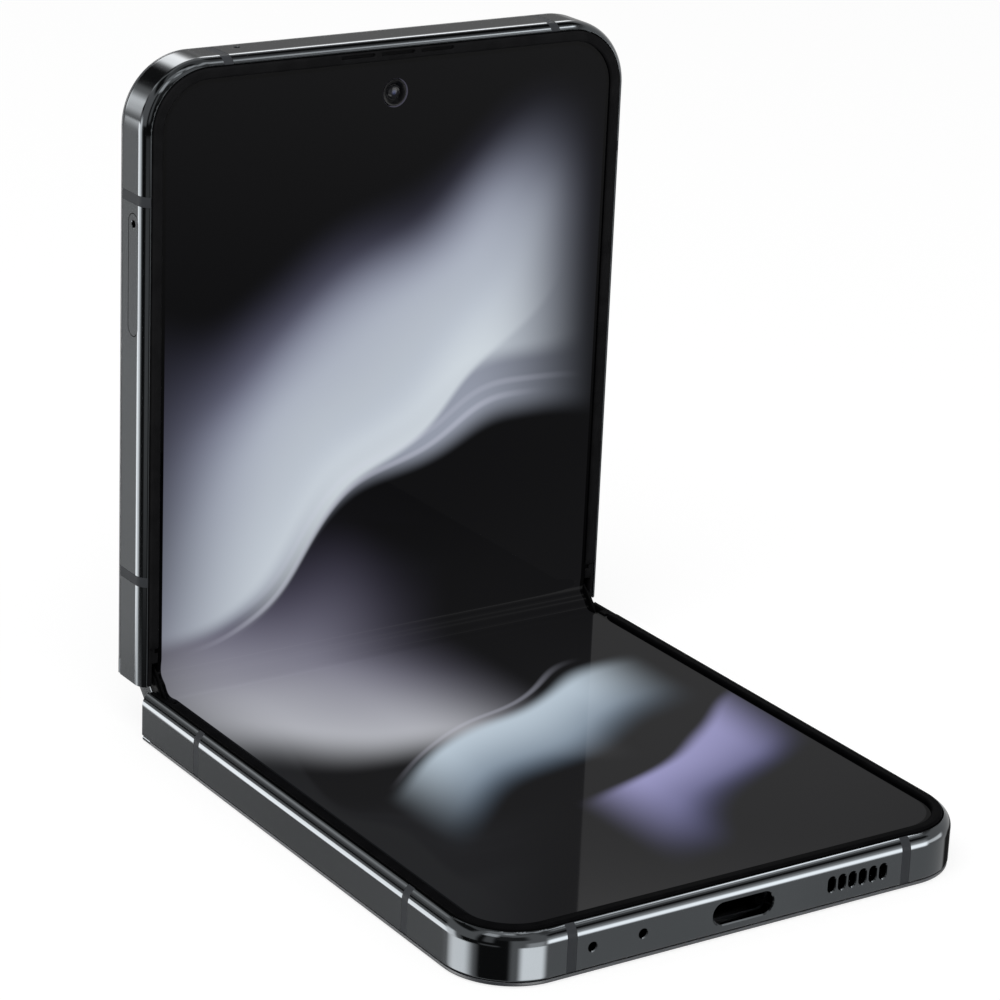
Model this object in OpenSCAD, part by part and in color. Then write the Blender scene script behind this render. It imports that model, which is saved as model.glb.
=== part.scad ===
// Foldable smartphone, standing half open: the base half lies flat and the lid half stands up on its hinge.
// X runs along the hinge, -Y is the front edge with the charging port, +Z is up, and the origin is the
// centre of the base half's flat underside. Both halves are drawn flat, with the hinge line at y = 0, and
// then folded about the two hinge axes.

/* [Body] */
// Width of both halves, along the hinge
phone_w = 71.9; // [60:0.1:90]
// Length of one half, from the hinge line to its outer edge
half_l = 82.55; // [70:0.05:100]
// Thickness of one half, from its glass back to the top of the display rim
half_t = 6.9; // [6.6:0.1:8.5]
// Corner radius of the outline
corner_r = 9; // [5:0.5:12]
// How far the lid is folded up from flat, in degrees
rest_fold = 90; // [70:5:110]

/* [Frame] */
// Wall of the metal frame
frame_wall = 1.6; // [1.2:0.1:2.0]
// Radius of the frame's rounded upper edge
edge_r = 2.0; // [1.5:0.1:2.4]
// Width of the rounded edge, seen from above
edge_w = 1.0; // [0.7:0.05:1.3]
// Gap between each half's end and the hinge line
end_gap = 0.4; // [0.3:0.05:0.8]
// Thickness of the deck that carries the display
deck_t = 0.8; // [0.5:0.1:1.0]
// Width of the plastic antenna breaks
break_w = 1.35; // [0.8:0.05:2]
// Distance of the outer antenna breaks from the end of a half
break_end = 17.4; // [14:0.1:22]
// Distance of the inner antenna breaks from the hinge line
break_hinge = 14.9; // [12:0.1:20]
// Distance of the end wall's antenna breaks from the middle
break_x = 24.3; // [20:0.1:28]

/* [Glass and display] */
// Thickness of the glass back
glass_t = 0.6; // [0.4:0.05:0.8]
// Inset of the glass back from the frame's side
glass_inset = 0.3; // [0.2:0.05:0.6]
// Thickness of the folding display
display_t = 0.7; // [0.5:0.05:0.9]
// Height of the plastic rim above the display
rim_rise = 0.5; // [0.3:0.05:0.8]
// Distance of the rim's inner edge from the frame's side
rim_reach = 2.5; // [2.2:0.05:3]
// Length of display, each side of the hinge line, that bends
bend_l = 5.0; // [4.2:0.1:7]

/* [Hinge] */
// Distance of each hinge axis from the hinge line
axis_y = 1.6; // [1.4:0.05:2]
// Depth of the hinge axes below the display's surface
axis_depth = 0.45; // [0.3:0.05:0.6]
// Outer radius of the spine cover about each hinge axis
spine_r = 5.2; // [4.9:0.05:5.3]
// Depth of the spine's floor below the hinge axes
spine_drop = 4.15; // [3.85:0.05:4.45]
// Wall of the spine cover
spine_wall = 0.5; // [0.4:0.05:0.6]
// Mean radius of the crescent rails about the hinge axes
rail_r = 2.8; // [2.6:0.05:3]
// Thickness of the crescent rails
rail_t = 0.8; // [0.6:0.05:1]
// Width of each crescent rail, along the hinge
rail_w = 5; // [3:0.5:6]
// Running clearance round the crescent rails
rail_gap = 0.08; // [0.05:0.01:0.1]
// Teeth on each timing gear
gear_teeth = 12; // [10:2:14]
// Module of the timing gears
gear_module = 0.2; // [0.18:0.01:0.2]
// Width of the timing gears
gear_w = 3; // [2:0.5:3.5]
// Radius of the gear pins
pin_r = 0.4; // [0.3:0.05:0.45]
// Running clearance round the gear pins
pin_gap = 0.05; // [0.02:0.01:0.08]

/* [Ports and keys] */
// Width of the charging port's opening
port_w = 8.9; // [8.6:0.05:9.2]
// Height of the charging port's opening
port_h = 2.9; // [2.8:0.05:3.2]
// Number of loudspeaker slots
speaker_slots = 6; // [3:1:8]
// Spacing of the loudspeaker slots
speaker_pitch = 1.556; // [1.5:0.01:2]
// Width of a loudspeaker slot
speaker_w = 1.2; // [0.6:0.05:1.3]
// Height of a loudspeaker slot
speaker_h = 2.1; // [1.2:0.1:2.6]
// Length of the SIM tray's face
tray_l = 15.8; // [14:0.1:17]
// Height of the SIM tray's face
tray_h = 2.4; // [2:0.1:2.6]
// Length of the volume rocker
rocker_l = 18; // [12:0.5:22]
// Length of the side key
key_l = 11; // [8:0.5:14]
// Height of both keys
key_h = 2.2; // [1.6:0.1:2.4]
// Travel of both keys
key_travel = 0.25; // [0.15:0.05:0.4]
// Clearance between a moving piece and its opening
slide_gap = 0.1; // [0.05:0.01:0.15]

/* [Cameras] */
// Radius of the rear cameras' lens rings
ring_r = 6.2; // [5:0.1:7]
// Height of the lens rings above the glass
ring_h = 1.2; // [0.6:0.1:1.6]
// Radius of the opening for the front camera
selfie_r = 1.87; // [1.5:0.01:2.5]

/* [Hidden] */
$fn = 64;

// Levels above the outer face of the glass back
display_z = half_t - rim_rise;
deck_z = display_z - display_t;
axis_z = display_z - axis_depth;
under_deck = deck_z - deck_t;
spine_z = axis_z - spine_drop;
glass_top = glass_t;
edge_z = half_t - 2.03;
port_z = 3.05;
tray_z = edge_z - tray_h / 2 - 0.02;
key_z = 3.4;
speaker_x = 13.05;
mic_x = [-21.45, -14.4];
mic_r = 0.42;
board_z = glass_top + 0.2;
board_t = 0.6;
shell_w = 8.94;
shell_h = 3.16;
shell_l = 7.3;
battery_w = 54;
battery_near = 18.5;
tray_t = 0.7;
tray_face = 1.1;
tray_y = -55.25;
rocker_y = -53;
key_y = -34.5;
selfie_y = -half_l + frame_wall + 5.25;
camera_x = [11.5, 26];
camera_y = -71;
flash_x = 18.75;
flash_y = -62;

// Plan positions
inner_w = phone_w - 2 * frame_wall;
panel_inset = 2.0;
bar_l = 2.0;
spine_l = inner_w - 0.4;
sweep_r = spine_r + 0.25;
half_fold = rest_fold / 2;
bend_r = axis_y / tan(rest_fold / 4) - axis_depth;
bend_half_w = phone_w / 2 - 2.55;
guard_in = bend_half_w + 0.08;
guard_out = spine_l / 2;
guard_y = axis_y + 1.68;

// Hinge modules: one left, one right, each with a base rail, a gear train and a lid rail
gear_pitch = gear_module * gear_teeth / 2;
gear_z = spine_z + spine_wall + 0.25 + gear_pitch + gear_module;
base_rail_x = 10.5;
gear_x = 16.5;
lid_rail_x = 22.5;
arm_gap = 0.35;
block_z = gear_z + 0.75;
strip_z0 = gear_z + gear_pitch + gear_module + 0.05;
rail_in = rail_r - rail_t / 2;
rail_out = rail_r + rail_t / 2;
arm_l = 8;
arm_t = 0.6;
pin_l = 5.2;
strip_w = 1.8;
bracket_l = 13;
bracket_hinge_y = axis_y + rail_in + 0.1;
bracket_screw_x = [-30, -11.5, 11.5, 30];
screw_y = -bracket_l - 1.6;
screw_z = under_deck - 0.7;

// ---------- placing ----------
module on_base() translate([0, half_l / 2, 0]) children();

module fold_about(y, angle)
    translate([0, y, axis_z]) rotate([angle, 0, 0]) translate([0, -y, -axis_z]) children();

module on_spine() on_base() fold_about(-axis_y, half_fold) children();

module on_lid() on_spine() fold_about(axis_y, half_fold) mirror([0, 1, 0]) children();

module both_sides() for (s = [0, 1]) mirror([s, 0, 0]) children();

// ---------- shared shapes, drawn flat with the hinge line at y = 0 and the half along -Y ----------
// Outline of a half, drawn in by inset and ending at y = -near
module half_outline(inset, near) {
    w = phone_w - 2 * inset;
    r = corner_r - inset;
    far = -half_l + inset;
    translate([-w / 2, far + r]) square([w, -near - far - r]);
    translate([-w / 2 + r, far]) square([w - 2 * r, r + 0.01]);
    for (s = [-1, 1]) translate([s * (w / 2 - r), far + r]) circle(r);
}

module half_slab(inset, near, z0, z1)
    translate([0, 0, z0]) linear_extrude(z1 - z0) half_outline(inset, near);

// A wall section carried round the sides and the outer end. The section's x is the distance in from the
// frame's side, and its y is the height.
module carry_round(near) {
    straight = half_l - corner_r - near;
    for (s = [0, 1]) mirror([s, 0, 0]) {
        translate([phone_w / 2, -near, 0]) rotate([90, 0, 0]) linear_extrude(straight)
            mirror([1, 0]) children();
        translate([phone_w / 2 - corner_r, -half_l + corner_r, 0]) rotate([0, 0, -90])
            rotate_extrude(angle = 90) translate([corner_r, 0]) mirror([1, 0]) children();
        translate([-0.005, -half_l, 0]) rotate([90, 0, 90])
            linear_extrude(phone_w / 2 - corner_r + 0.005) children();
    }
}

// Metal wall: flat side, chamfer over the glass, rounded upper edge and the seat of the rim
module wall_section() {
    polygon([[0.3, glass_top], [frame_wall, glass_top], [frame_wall, edge_z], [0, edge_z],
        [0, glass_top + 0.3]]);
    translate([edge_w - 0.1, edge_z - 0.1]) square([frame_wall - edge_w + 0.1, deck_z - edge_z + 0.1]);
    intersection() {
        translate([edge_r, edge_z]) circle(edge_r);
        translate([0, edge_z - 0.1]) square([edge_w, edge_r + 0.2]);
    }
}

// Slot with round ends, cut along +Y from y0
module slot_y(w, h, depth) {
    r = min(w, h) / 2;
    rotate([-90, 0, 0]) linear_extrude(depth) {
        square([w - (w > h ? 2 * r : 0), h - (h > w ? 2 * r : 0)], center = true);
        for (s = [-1, 1]) translate([w > h ? s * (w / 2 - r) : 0, h > w ? s * (h / 2 - r) : 0]) circle(r);
    }
}

// Ring segment about the X axis, from angle a0 to a1, measured from +Y towards +Z
module arc_x(r0, r1, a0, a1, len) rotate([90, 0, 90]) rotate([0, 0, a0]) rotate_extrude(angle = a1 - a0)
    translate([r0, -len / 2]) square([r1 - r0, len]);

// Places of the antenna breaks: two in each side wall and two in the end wall
module break_cuts(w) {
    for (s = [-1, 1]) {
        for (y = [-break_hinge, -half_l + break_end])
            translate([s * phone_w / 2, y, half_t / 2]) cube([2 * frame_wall, w, 2 * half_t], center = true);
        translate([s * break_x, -half_l, half_t / 2]) cube([w, 2 * frame_wall, 2 * half_t], center = true);
    }
}

module antenna_breaks() intersection() {
    carry_round(end_gap) wall_section();
    break_cuts(break_w);
}

// Frame of a half before its own openings: wall, display deck and the bar under the hinge
module frame_shell() {
    difference() {
        union() {
            carry_round(end_gap) wall_section();
            half_slab(edge_w, bracket_l, under_deck, deck_z);
        }
        break_cuts(break_w);
        bracket_screw_holes(under_deck - 0.1, 0.7);
    }
    translate([-phone_w / 2 + frame_wall - 0.3, -end_gap - bar_l, 0.05])
        cube([inner_w + 0.6, bar_l, 0.45]);
    both_sides() translate([inner_w / 2, -end_gap - bar_l, 0.05])
        cube([frame_wall - glass_inset, bar_l, glass_top]);
}

// Raised plastic rim over the display's border, with a lower tail towards the hinge
module display_rim() {
    gap = 0.15;
    carry_round(bend_l + 0.6) {
        translate([edge_w + gap, deck_z]) square([panel_inset - edge_w - gap - 0.03, half_t - deck_z]);
        translate([edge_w + gap, display_z + 0.02])
            square([rim_reach - edge_w - gap, rim_rise - 0.02]);
    }
    both_sides() translate([inner_w / 2 + 0.02, -bend_l - 0.6, deck_z])
        cube([frame_wall - edge_w - gap - 0.02, bend_l + 0.6 - end_gap, display_z - deck_z + 0.2]);
    // Block that fills the corner between the rim and the hinge's end guard, stepped round the display panel
    for (step = [[phone_w / 2 - panel_inset + 0.03, bend_l + 0.61], [guard_in, bend_l - 0.03]])
        both_sides() translate([step[0], -step[1], deck_z])
            cube([phone_w / 2 - edge_w - gap - step[0], step[1] - guard_y - 0.12, display_z - deck_z + 0.2]);
}

module glass_back() half_slab(glass_inset, end_gap + bar_l + 0.05, 0, glass_top);

// Round pan-head screws, one solid each
module screw_at(x, y, z, len) translate([x, y, z]) {
    cylinder(r = 0.7, h = len);
    difference() {
        translate([0, 0, -0.35]) cylinder(r = 1.2, h = 0.35);
        translate([0, 0, -0.4]) cylinder(r = 0.45, h = 0.25, $fn = 6);
    }
}

module bracket_screw_holes(z, len) for (x = bracket_screw_x)
    translate([x, screw_y, z]) cylinder(r = 0.7, h = len);

// Steel bracket that carries a half's crescent rails. rail_x is the rails' place along the hinge.
module hinge_bracket(rail_x) {
    difference() {
        union() {
            translate([-inner_w / 2 + 0.5, -bracket_l + 0.05, under_deck])
                cube([inner_w - 1, bracket_l - bend_l - 1.2, deck_t]);
            both_sides() translate([rail_x - rail_w / 2, -bend_l - 1.3, under_deck])
                cube([rail_w, bend_l + 1.3 - bracket_hinge_y, deck_t]);
            for (x = bracket_screw_x)
                translate([x - 2, -bracket_l - 3, screw_z]) cube([4, 6, 0.7]);
        }
        bracket_screw_holes(screw_z - 0.1, 1);
        both_sides() translate([gear_x - gear_w / 2 - arm_gap, -bracket_l + 0.6, under_deck - 0.1])
            cube([gear_w + 2 * arm_gap, bracket_l, deck_t + 0.2]);
    }
    both_sides() translate([rail_x, -axis_y, axis_z]) difference() {
        arc_x(rail_in, rail_out, 186, 325, rail_w);
        translate([0, 0, deck_z - axis_z + 1]) cube([rail_w + 1, 20, 2], center = true);
    }
}

// ---------- timing gears ----------
// Involute tooth flank: point at radius r, as an angle from the tooth's middle
function inv(a) = tan(a) * 180 / PI - a;
pressure = 25;
gear_base = gear_pitch * cos(pressure);
tooth_half = 90 / gear_teeth - 1.1;
function flank(r) = tooth_half + inv(pressure) - inv(acos(min(1, gear_base / r)));
gear_tip = gear_pitch + gear_module * 0.9;
gear_root = gear_pitch - gear_module * 1.25;
flank_steps = 4;
function flank_radius(i) = gear_base + (gear_tip - gear_base) * i / flank_steps;
function gear_polar(k) = [for (side = [-1, 1]) for (i = [0 : flank_steps])
    let (r = flank_radius(side < 0 ? i : flank_steps - i)) [r, k * 360 / gear_teeth + side * flank(r)]];

module gear_profile() difference() {
    polygon([for (k = [0 : gear_teeth - 1]) for (p = concat(
        [[gear_root, k * 360 / gear_teeth - flank(gear_base) - 1]], gear_polar(k),
        [[gear_root, k * 360 / gear_teeth + flank(gear_base) + 1]])) p[0] * [cos(p[1]), sin(p[1])]]);
    circle(pin_r + pin_gap);
}

// Gear on a pin at y, turned by phase, in the spine's frame
module gear_at(y, phase) both_sides() translate([gear_x, y, gear_z]) rotate([90, 0, 90])
    rotate([0, 0, phase]) translate([0, 0, -gear_w / 2]) linear_extrude(gear_w) gear_profile();

// Arm of a timing gear, drawn flat: a dog-leg from the gear's hub up to a blade under the display deck
module sync_arms() {
    hub_y = -3 * gear_pitch;
    blade_z = deck_z - 0.15 - arm_t;
    both_sides() translate([gear_x - gear_w / 2, 0, 0]) rotate([90, 0, 90]) linear_extrude(gear_w)
        difference() {
            polygon([[hub_y - arm_l, blade_z], [hub_y - arm_l, blade_z + arm_t],
                [hub_y - 1.45, blade_z + arm_t], [hub_y - 0.62, gear_z + 0.72],
                [hub_y - 0.93, gear_z - 0.16], [hub_y - 2.15, blade_z]]);
            translate([hub_y, gear_z]) circle(pin_r + pin_gap);
        }
}

// ---------- spine ----------
// Outline of the spine in the plane across the hinge: two arcs about the hinge axes and a flat bottom
module spine_outline(r, z0, top) intersection() {
    union() {
        translate([-axis_y, axis_z]) circle(r);
        translate([axis_y, axis_z]) circle(r);
    }
    translate([-r - axis_y, z0]) square([2 * (r + axis_y), top - z0]);
}

module along_x(len) rotate([90, 0, 90]) translate([0, 0, -len / 2]) linear_extrude(len) children();

// Rail blocks of the hinge modules, on each side of the gear train
module blocks_flat() {
    floor_z = spine_z + spine_wall;
    wall_x = gear_w / 2 + arm_gap;
    near_x = gear_x - wall_x - 8.15;
    difference() {
        both_sides() for (x = [near_x, gear_x + wall_x]) translate([x, 0, 0])
            rotate([90, 0, 90]) linear_extrude(8.15) intersection() {
                spine_outline(spine_r - spine_wall - 0.1, floor_z, block_z);
                translate([-4.55, floor_z]) square([9.1, block_z - floor_z]);
            }
        both_sides() {
            translate([base_rail_x, -axis_y, axis_z])
                arc_x(rail_in - rail_gap, rail_out + rail_gap, 170, 332, rail_w + 0.3);
            translate([lid_rail_x, axis_y, axis_z]) mirror([0, 1, 0])
                arc_x(rail_in - rail_gap, rail_out + rail_gap, 170, 332, rail_w + 0.3);
            for (i = [-3, -1, 1, 3]) translate([gear_x - pin_l / 2, i * gear_pitch, gear_z])
                rotate([0, 90, 0]) cylinder(r = pin_r, h = pin_l);
        }
    }
    both_sides() for (x = [near_x, gear_x + wall_x + 7.25])
        translate([x, -strip_w / 2 + 0.2, block_z - 0.01])
            cube([0.9, strip_w - 0.4, strip_z0 - block_z + 0.01]);
}

// ---------- base half ----------
module base_frame() color("#4b4e52") on_base() difference() {
    frame_shell();
    translate([0, -half_l - 1, port_z]) slot_y(port_w, port_h, frame_wall + 2);
    for (i = [0 : speaker_slots - 1]) translate([speaker_x + i * speaker_pitch, -half_l - 1, port_z + 0.1])
        slot_y(speaker_w, speaker_h, frame_wall + 2);
    for (x = mic_x) translate([x, -half_l - 1, port_z + 0.2]) rotate([-90, 0, 0])
        cylinder(r = mic_r, h = frame_wall + 2);
}

module base_antenna_breaks() color("#3c3f42") on_base() antenna_breaks();

module base_glass_back() color("#1d1f21") on_base() glass_back();

module base_display_rim() color("#1a1a1b") on_base() display_rim();

module base_hinge_bracket() color("#8d9196") on_base() hinge_bracket(base_rail_x);

module battery(far, near) translate([-battery_w / 2, -far, glass_top + 0.4])
    cube([battery_w, far - near, under_deck - glass_top - 0.6]);

module base_battery() color("#2b2d30") on_base() battery(64, battery_near);

module charging_coil() color("#b5713a") on_base() translate([0, -42, glass_top + 0.05])
    rotate_extrude() translate([9, 0]) square([11, 0.3]);

module sub_board() color("#20432c") on_base() intersection() {
    half_slab(frame_wall + 0.3, 66, board_z, board_z + board_t);
    translate([-40, -half_l, 0]) cube([49.5, half_l, half_t]);
}

module usb_receptacle() color("#9a9da1") on_base() translate([0, -half_l + frame_wall, port_z]) difference() {
    slot_y(shell_w, shell_h, shell_l);
    translate([0, -0.1, 0]) slot_y(shell_w - 0.6, shell_h - 0.6, shell_l - 0.7);
}

module usb_tongue() color("#17181a") on_base()
    translate([-3.35, -half_l + frame_wall + shell_l - 0.8 - 4.5, port_z - 0.35]) cube([6.7, 4.5, 0.7]);

module loudspeaker() color("#232426") on_base() difference() {
    intersection() {
        half_slab(frame_wall + 0.05, 67, board_z, under_deck - 0.1);
        translate([10, -half_l, 0]) cube([30, half_l, half_t]);
    }
    translate([speaker_x - 1, -half_l, port_z - 1.2])
        cube([(speaker_slots - 1) * speaker_pitch + 2, frame_wall + 1.5, 2.6]);
}

module base_microphones() color("#a8abae") on_base() for (x = mic_x) difference() {
    translate([x - 1.7, -half_l + frame_wall + 0.05, board_z + board_t]) cube([3.4, 2.4, 2.9]);
    translate([x, -half_l, port_z + 0.2]) rotate([-90, 0, 0]) cylinder(r = mic_r, h = frame_wall + 1);
}

module vibration_motor() color("#83868a") on_base()
    translate([-27, -72.5, board_z + board_t]) cylinder(r = 4, h = 3.1);

module bracket_screws() for (x = bracket_screw_x) screw_at(x, screw_y, screw_z, 1.3);

module base_screws() color("#6c6f73") on_base() bracket_screws();

module display_base() color("#0b0b0d") on_base() half_slab(panel_inset, bend_l, deck_z, display_z);

// ---------- spine ----------
module hinge_spine_cover() color("#55585c") on_spine() difference() {
    along_x(spine_l) spine_outline(spine_r, spine_z, under_deck - 0.15);
    along_x(spine_l - 2 * spine_wall)
        spine_outline(spine_r - spine_wall, spine_z + spine_wall, under_deck);
}

module hinge_blocks() color("#7d8186") on_spine() blocks_flat();

module hinge_pins() color("#b9bcc0") on_spine() both_sides() for (i = [-3, -1, 1, 3])
    translate([gear_x - pin_l / 2, i * gear_pitch, gear_z]) rotate([0, 90, 0])
        cylinder(r = pin_r, h = pin_l);

module hinge_centre_strip() color("#9a9da1") on_spine()
    translate([-bend_half_w, -strip_w / 2, strip_z0]) cube([2 * bend_half_w, strip_w, 0.25]);

module hinge_end_guards() color("#161617") on_spine() both_sides()
    translate([(guard_in + guard_out) / 2, 0, 0]) along_x(guard_out - guard_in) for (s = [0, 1]) mirror([s, 0])
        polygon([[0, under_deck - 0.15], [guard_y - 0.18, under_deck - 0.15], [guard_y, axis_z - 0.05],
            [guard_y - 0.33, display_z + 0.1], [guard_y - 1.08, display_z + 0.35], [0, display_z + 0.35]]);

module bend_half() {
    translate([-bend_half_w, -bend_l, deck_z]) cube([2 * bend_half_w, bend_l - 2 * axis_y, display_t]);
    translate([0, -2 * axis_y, display_z + bend_r])
        arc_x(bend_r, bend_r + display_t, -90, -90 + half_fold, 2 * bend_half_w);
}

module display_bend() color("#0b0b0d") {
    on_base() bend_half();
    on_lid() bend_half();
}

module base_sync_arms() color("#a3a6aa") on_spine() {
    gear_at(-3 * gear_pitch, 0);
    translate([0, -3 * gear_pitch, gear_z]) rotate([-half_fold, 0, 0])
        translate([0, 3 * gear_pitch, -gear_z]) sync_arms();
}

module lid_sync_arms() color("#a3a6aa") on_spine() {
    gear_at(3 * gear_pitch, 180 / gear_teeth);
    translate([0, 3 * gear_pitch, gear_z]) rotate([half_fold, 0, 0])
        translate([0, -3 * gear_pitch, -gear_z]) mirror([0, 1, 0]) sync_arms();
}

module base_idler_gears() color("#c0c3c6") on_spine() gear_at(-gear_pitch, 180 / gear_teeth);

module lid_idler_gears() color("#c0c3c6") on_spine() gear_at(gear_pitch, 0);

// ---------- lid half ----------
// Opening through the right side wall for a key
module key_opening(y, len) translate([phone_w / 2 - frame_wall - 1, y, key_z]) rotate([0, 0, -90])
    slot_y(len + 2 * slide_gap, key_h + 2 * slide_gap, frame_wall + 2);

module lid_frame() color("#4b4e52") on_lid() difference() {
    frame_shell();
    key_opening(rocker_y, rocker_l);
    key_opening(key_y, key_l);
    translate([-phone_w / 2 - 1, tray_y, tray_z]) rotate([0, 0, -90])
        slot_y(tray_l + 2 * slide_gap, tray_h + 2 * slide_gap, 1 + tray_face + 0.05);
    translate([-phone_w / 2, tray_y - tray_l / 2 + 0.4 - slide_gap, tray_z - tray_t / 2 - slide_gap])
        cube([frame_wall + 1, tray_l - 0.8 + 2 * slide_gap, tray_t + 2 * slide_gap]);
    translate([-20.8, -half_l - 1, 2.1]) rotate([-90, 0, 0]) cylinder(r = mic_r, h = frame_wall + 2);
    translate([0, selfie_y, under_deck - 0.1]) cylinder(r = selfie_r + 0.1, h = deck_t + 0.2);
}

module lid_antenna_breaks() color("#3c3f42") on_lid() antenna_breaks();

module lid_glass_back() color("#1d1f21") on_lid() difference() {
    glass_back();
    for (x = camera_x) translate([x, camera_y, -0.1]) cylinder(r = ring_r - 0.55, h = glass_t + 0.2);
    translate([flash_x, flash_y, -0.1]) cylinder(r = 2.05, h = glass_t + 0.2);
}

module lid_display_rim() color("#1a1a1b") on_lid() difference() {
    display_rim();
    for (x = [-5.9, 0, 5.9]) translate([x, -half_l + 1.55, display_z - 0.3])
        rotate([90, 0, 0]) translate([0, 0, -0.25]) linear_extrude(0.5) square([4.9, 4], center = true);
}

module lid_hinge_bracket() color("#8d9196") on_lid() hinge_bracket(lid_rail_x);

module lid_battery() color("#2b2d30") on_lid() battery(39, battery_near);

module main_board() color("#20432c") on_lid() difference() {
    union() {
        half_slab(frame_wall + 0.3, 41, under_deck - 0.8, under_deck - 0.1);
        translate([-18, -70, 1.3]) cube([30, 26, under_deck - 2]);
    }
    for (x = camera_x) translate([x - 5.4, camera_y - 5.4, 0]) cube([10.8, 10.8, half_t]);
    translate([-phone_w / 2, tray_y - tray_l / 2 - 1.2, 0]) cube([frame_wall + 15.35, tray_l + 2.4, half_t]);
    translate([phone_w / 2 - frame_wall - 1.2, rocker_y - rocker_l / 2 - 0.8, 0])
        cube([3, rocker_l + 1.6, half_t]);
    translate([-3.2, selfie_y - 3.2, 0]) cube([6.4, 6.4, half_t]);
    translate([-8.2, -half_l, 0]) cube([16.4, frame_wall + 2.2, half_t]);
}

module cover_display() color("#101114") on_lid()
    translate([-30, -59, glass_top + 0.05]) linear_extrude(0.25) square([60, 52]);

module rear_camera_modules() color("#2f3236") on_lid() for (x = camera_x)
    translate([x - 5.2, camera_y - 5.2, glass_top + 0.05]) cube([10.4, 10.4, under_deck - glass_top - 0.2]);

module rear_camera_rings() color("#5a5d61") on_lid() for (x = camera_x)
    translate([x, camera_y, 0]) rotate_extrude() {
        translate([ring_r - 1.4, -ring_h]) square([1.2, 0.3]);
        translate([ring_r - 1.4, -ring_h + 0.2]) square([1.4, ring_h - 0.2]);
        translate([ring_r - 1.4, -0.1]) square([0.8, glass_t + 0.1]);
    }

module rear_camera_lenses() color("#0d1016") on_lid() for (x = camera_x)
    translate([x, camera_y, -ring_h + 0.35]) cylinder(r = ring_r - 1.45, h = ring_h + 0.2);

module flash_led() color("#e8e2c8") on_lid() translate([flash_x, flash_y, 0]) cylinder(r = 2, h = 1.1);

module front_camera() color("#0c0d10") on_lid() translate([0, selfie_y, 0]) {
    translate([-3, -3, 1.5]) cube([6, 6, under_deck - 1.7]);
    translate([0, 0, under_deck - 0.3]) cylinder(r = selfie_r - 0.1, h = display_z - under_deck + 0.2);
}

module earpiece_speaker() color("#232426") on_lid()
    translate([-8, -half_l + frame_wall + 0.1, 1.2]) cube([16, 1.9, under_deck - 1.3]);

module lid_microphone() color("#a8abae") on_lid() difference() {
    translate([-22.5, -half_l + frame_wall + 0.05, 1]) cube([3.4, 2.4, under_deck - 1.8]);
    translate([-20.8, -half_l, 2.1]) rotate([-90, 0, 0]) cylinder(r = mic_r, h = frame_wall + 1);
}

module sim_socket() color("#9a9da1") on_lid() difference() {
    translate([-phone_w / 2 + frame_wall + 0.05, tray_y - tray_l / 2 - 0.6, tray_z - tray_t / 2 - 0.35])
        cube([13, tray_l + 1.2, tray_t + 0.7]);
    translate([-phone_w / 2, tray_y - tray_l / 2 + 0.4 - slide_gap, tray_z - tray_t / 2 - slide_gap])
        cube([frame_wall + 12.4, tray_l - 0.8 + 2 * slide_gap, tray_t + 2 * slide_gap]);
}

module lid_screws() color("#6c6f73") on_lid() bracket_screws();

module display_lid() color("#0b0b0d") on_lid() difference() {
    half_slab(panel_inset, bend_l, deck_z, display_z);
    translate([0, selfie_y, deck_z - 0.1]) cylinder(r = selfie_r, h = display_t + 0.2);
}

// ---------- pieces that slide ----------
module sim_tray() color("#54575b") on_lid() {
    difference() {
        translate([-phone_w / 2, tray_y, tray_z]) rotate([0, 0, -90]) slot_y(tray_l, tray_h, tray_face);
        translate([-phone_w / 2 - 1, tray_y - tray_l / 2 + 1.3, tray_z]) rotate([0, 90, 0])
            cylinder(r = 0.5, h = 3);
    }
    difference() {
        translate([-phone_w / 2 + tray_face - 0.05, tray_y - tray_l / 2 + 0.4, tray_z - tray_t / 2])
            cube([12.6, tray_l - 0.8, tray_t]);
        translate([-phone_w / 2 + 2.6, tray_y - 6.2, tray_z - tray_t / 2 + 0.25])
            cube([9, 12.4, tray_t]);
    }
}

module side_button(y, len, proud) {
    translate([phone_w / 2 - frame_wall - 0.3, y, key_z]) rotate([0, 0, -90])
        slot_y(len, key_h, frame_wall + 0.3 + proud);
    translate([phone_w / 2 - frame_wall - 0.55, y - len / 2 - 0.4, key_z - key_h / 2 - 0.25])
        cube([0.45, len + 0.8, key_h + 0.5]);
}

module volume_rocker() color("#54575b") on_lid() side_button(rocker_y, rocker_l, 0.45);

module side_key() color("#54575b") on_lid() side_button(key_y, key_l, 0.35);

base_frame();
base_antenna_breaks();
base_glass_back();
base_display_rim();
base_hinge_bracket();
base_battery();
charging_coil();
sub_board();
usb_receptacle();
usb_tongue();
loudspeaker();
base_microphones();
vibration_motor();
base_screws();
display_base();
hinge_spine_cover();
hinge_blocks();
hinge_pins();
hinge_centre_strip();
hinge_end_guards();
display_bend();
base_sync_arms();
lid_sync_arms();
base_idler_gears();
lid_idler_gears();
lid_frame();
lid_antenna_breaks();
lid_glass_back();
lid_display_rim();
lid_hinge_bracket();
lid_battery();
main_board();
cover_display();
rear_camera_modules();
rear_camera_rings();
rear_camera_lenses();
flash_led();
front_camera();
earpiece_speaker();
lid_microphone();
sim_socket();
lid_screws();
display_lid();
sim_tray();
volume_rocker();
side_key();
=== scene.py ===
"""Foldable smartphone, half open. Finer visible pieces and node-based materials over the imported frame."""
import math
import bmesh
import bpy
import numpy as np
from mathutils import Matrix


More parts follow.
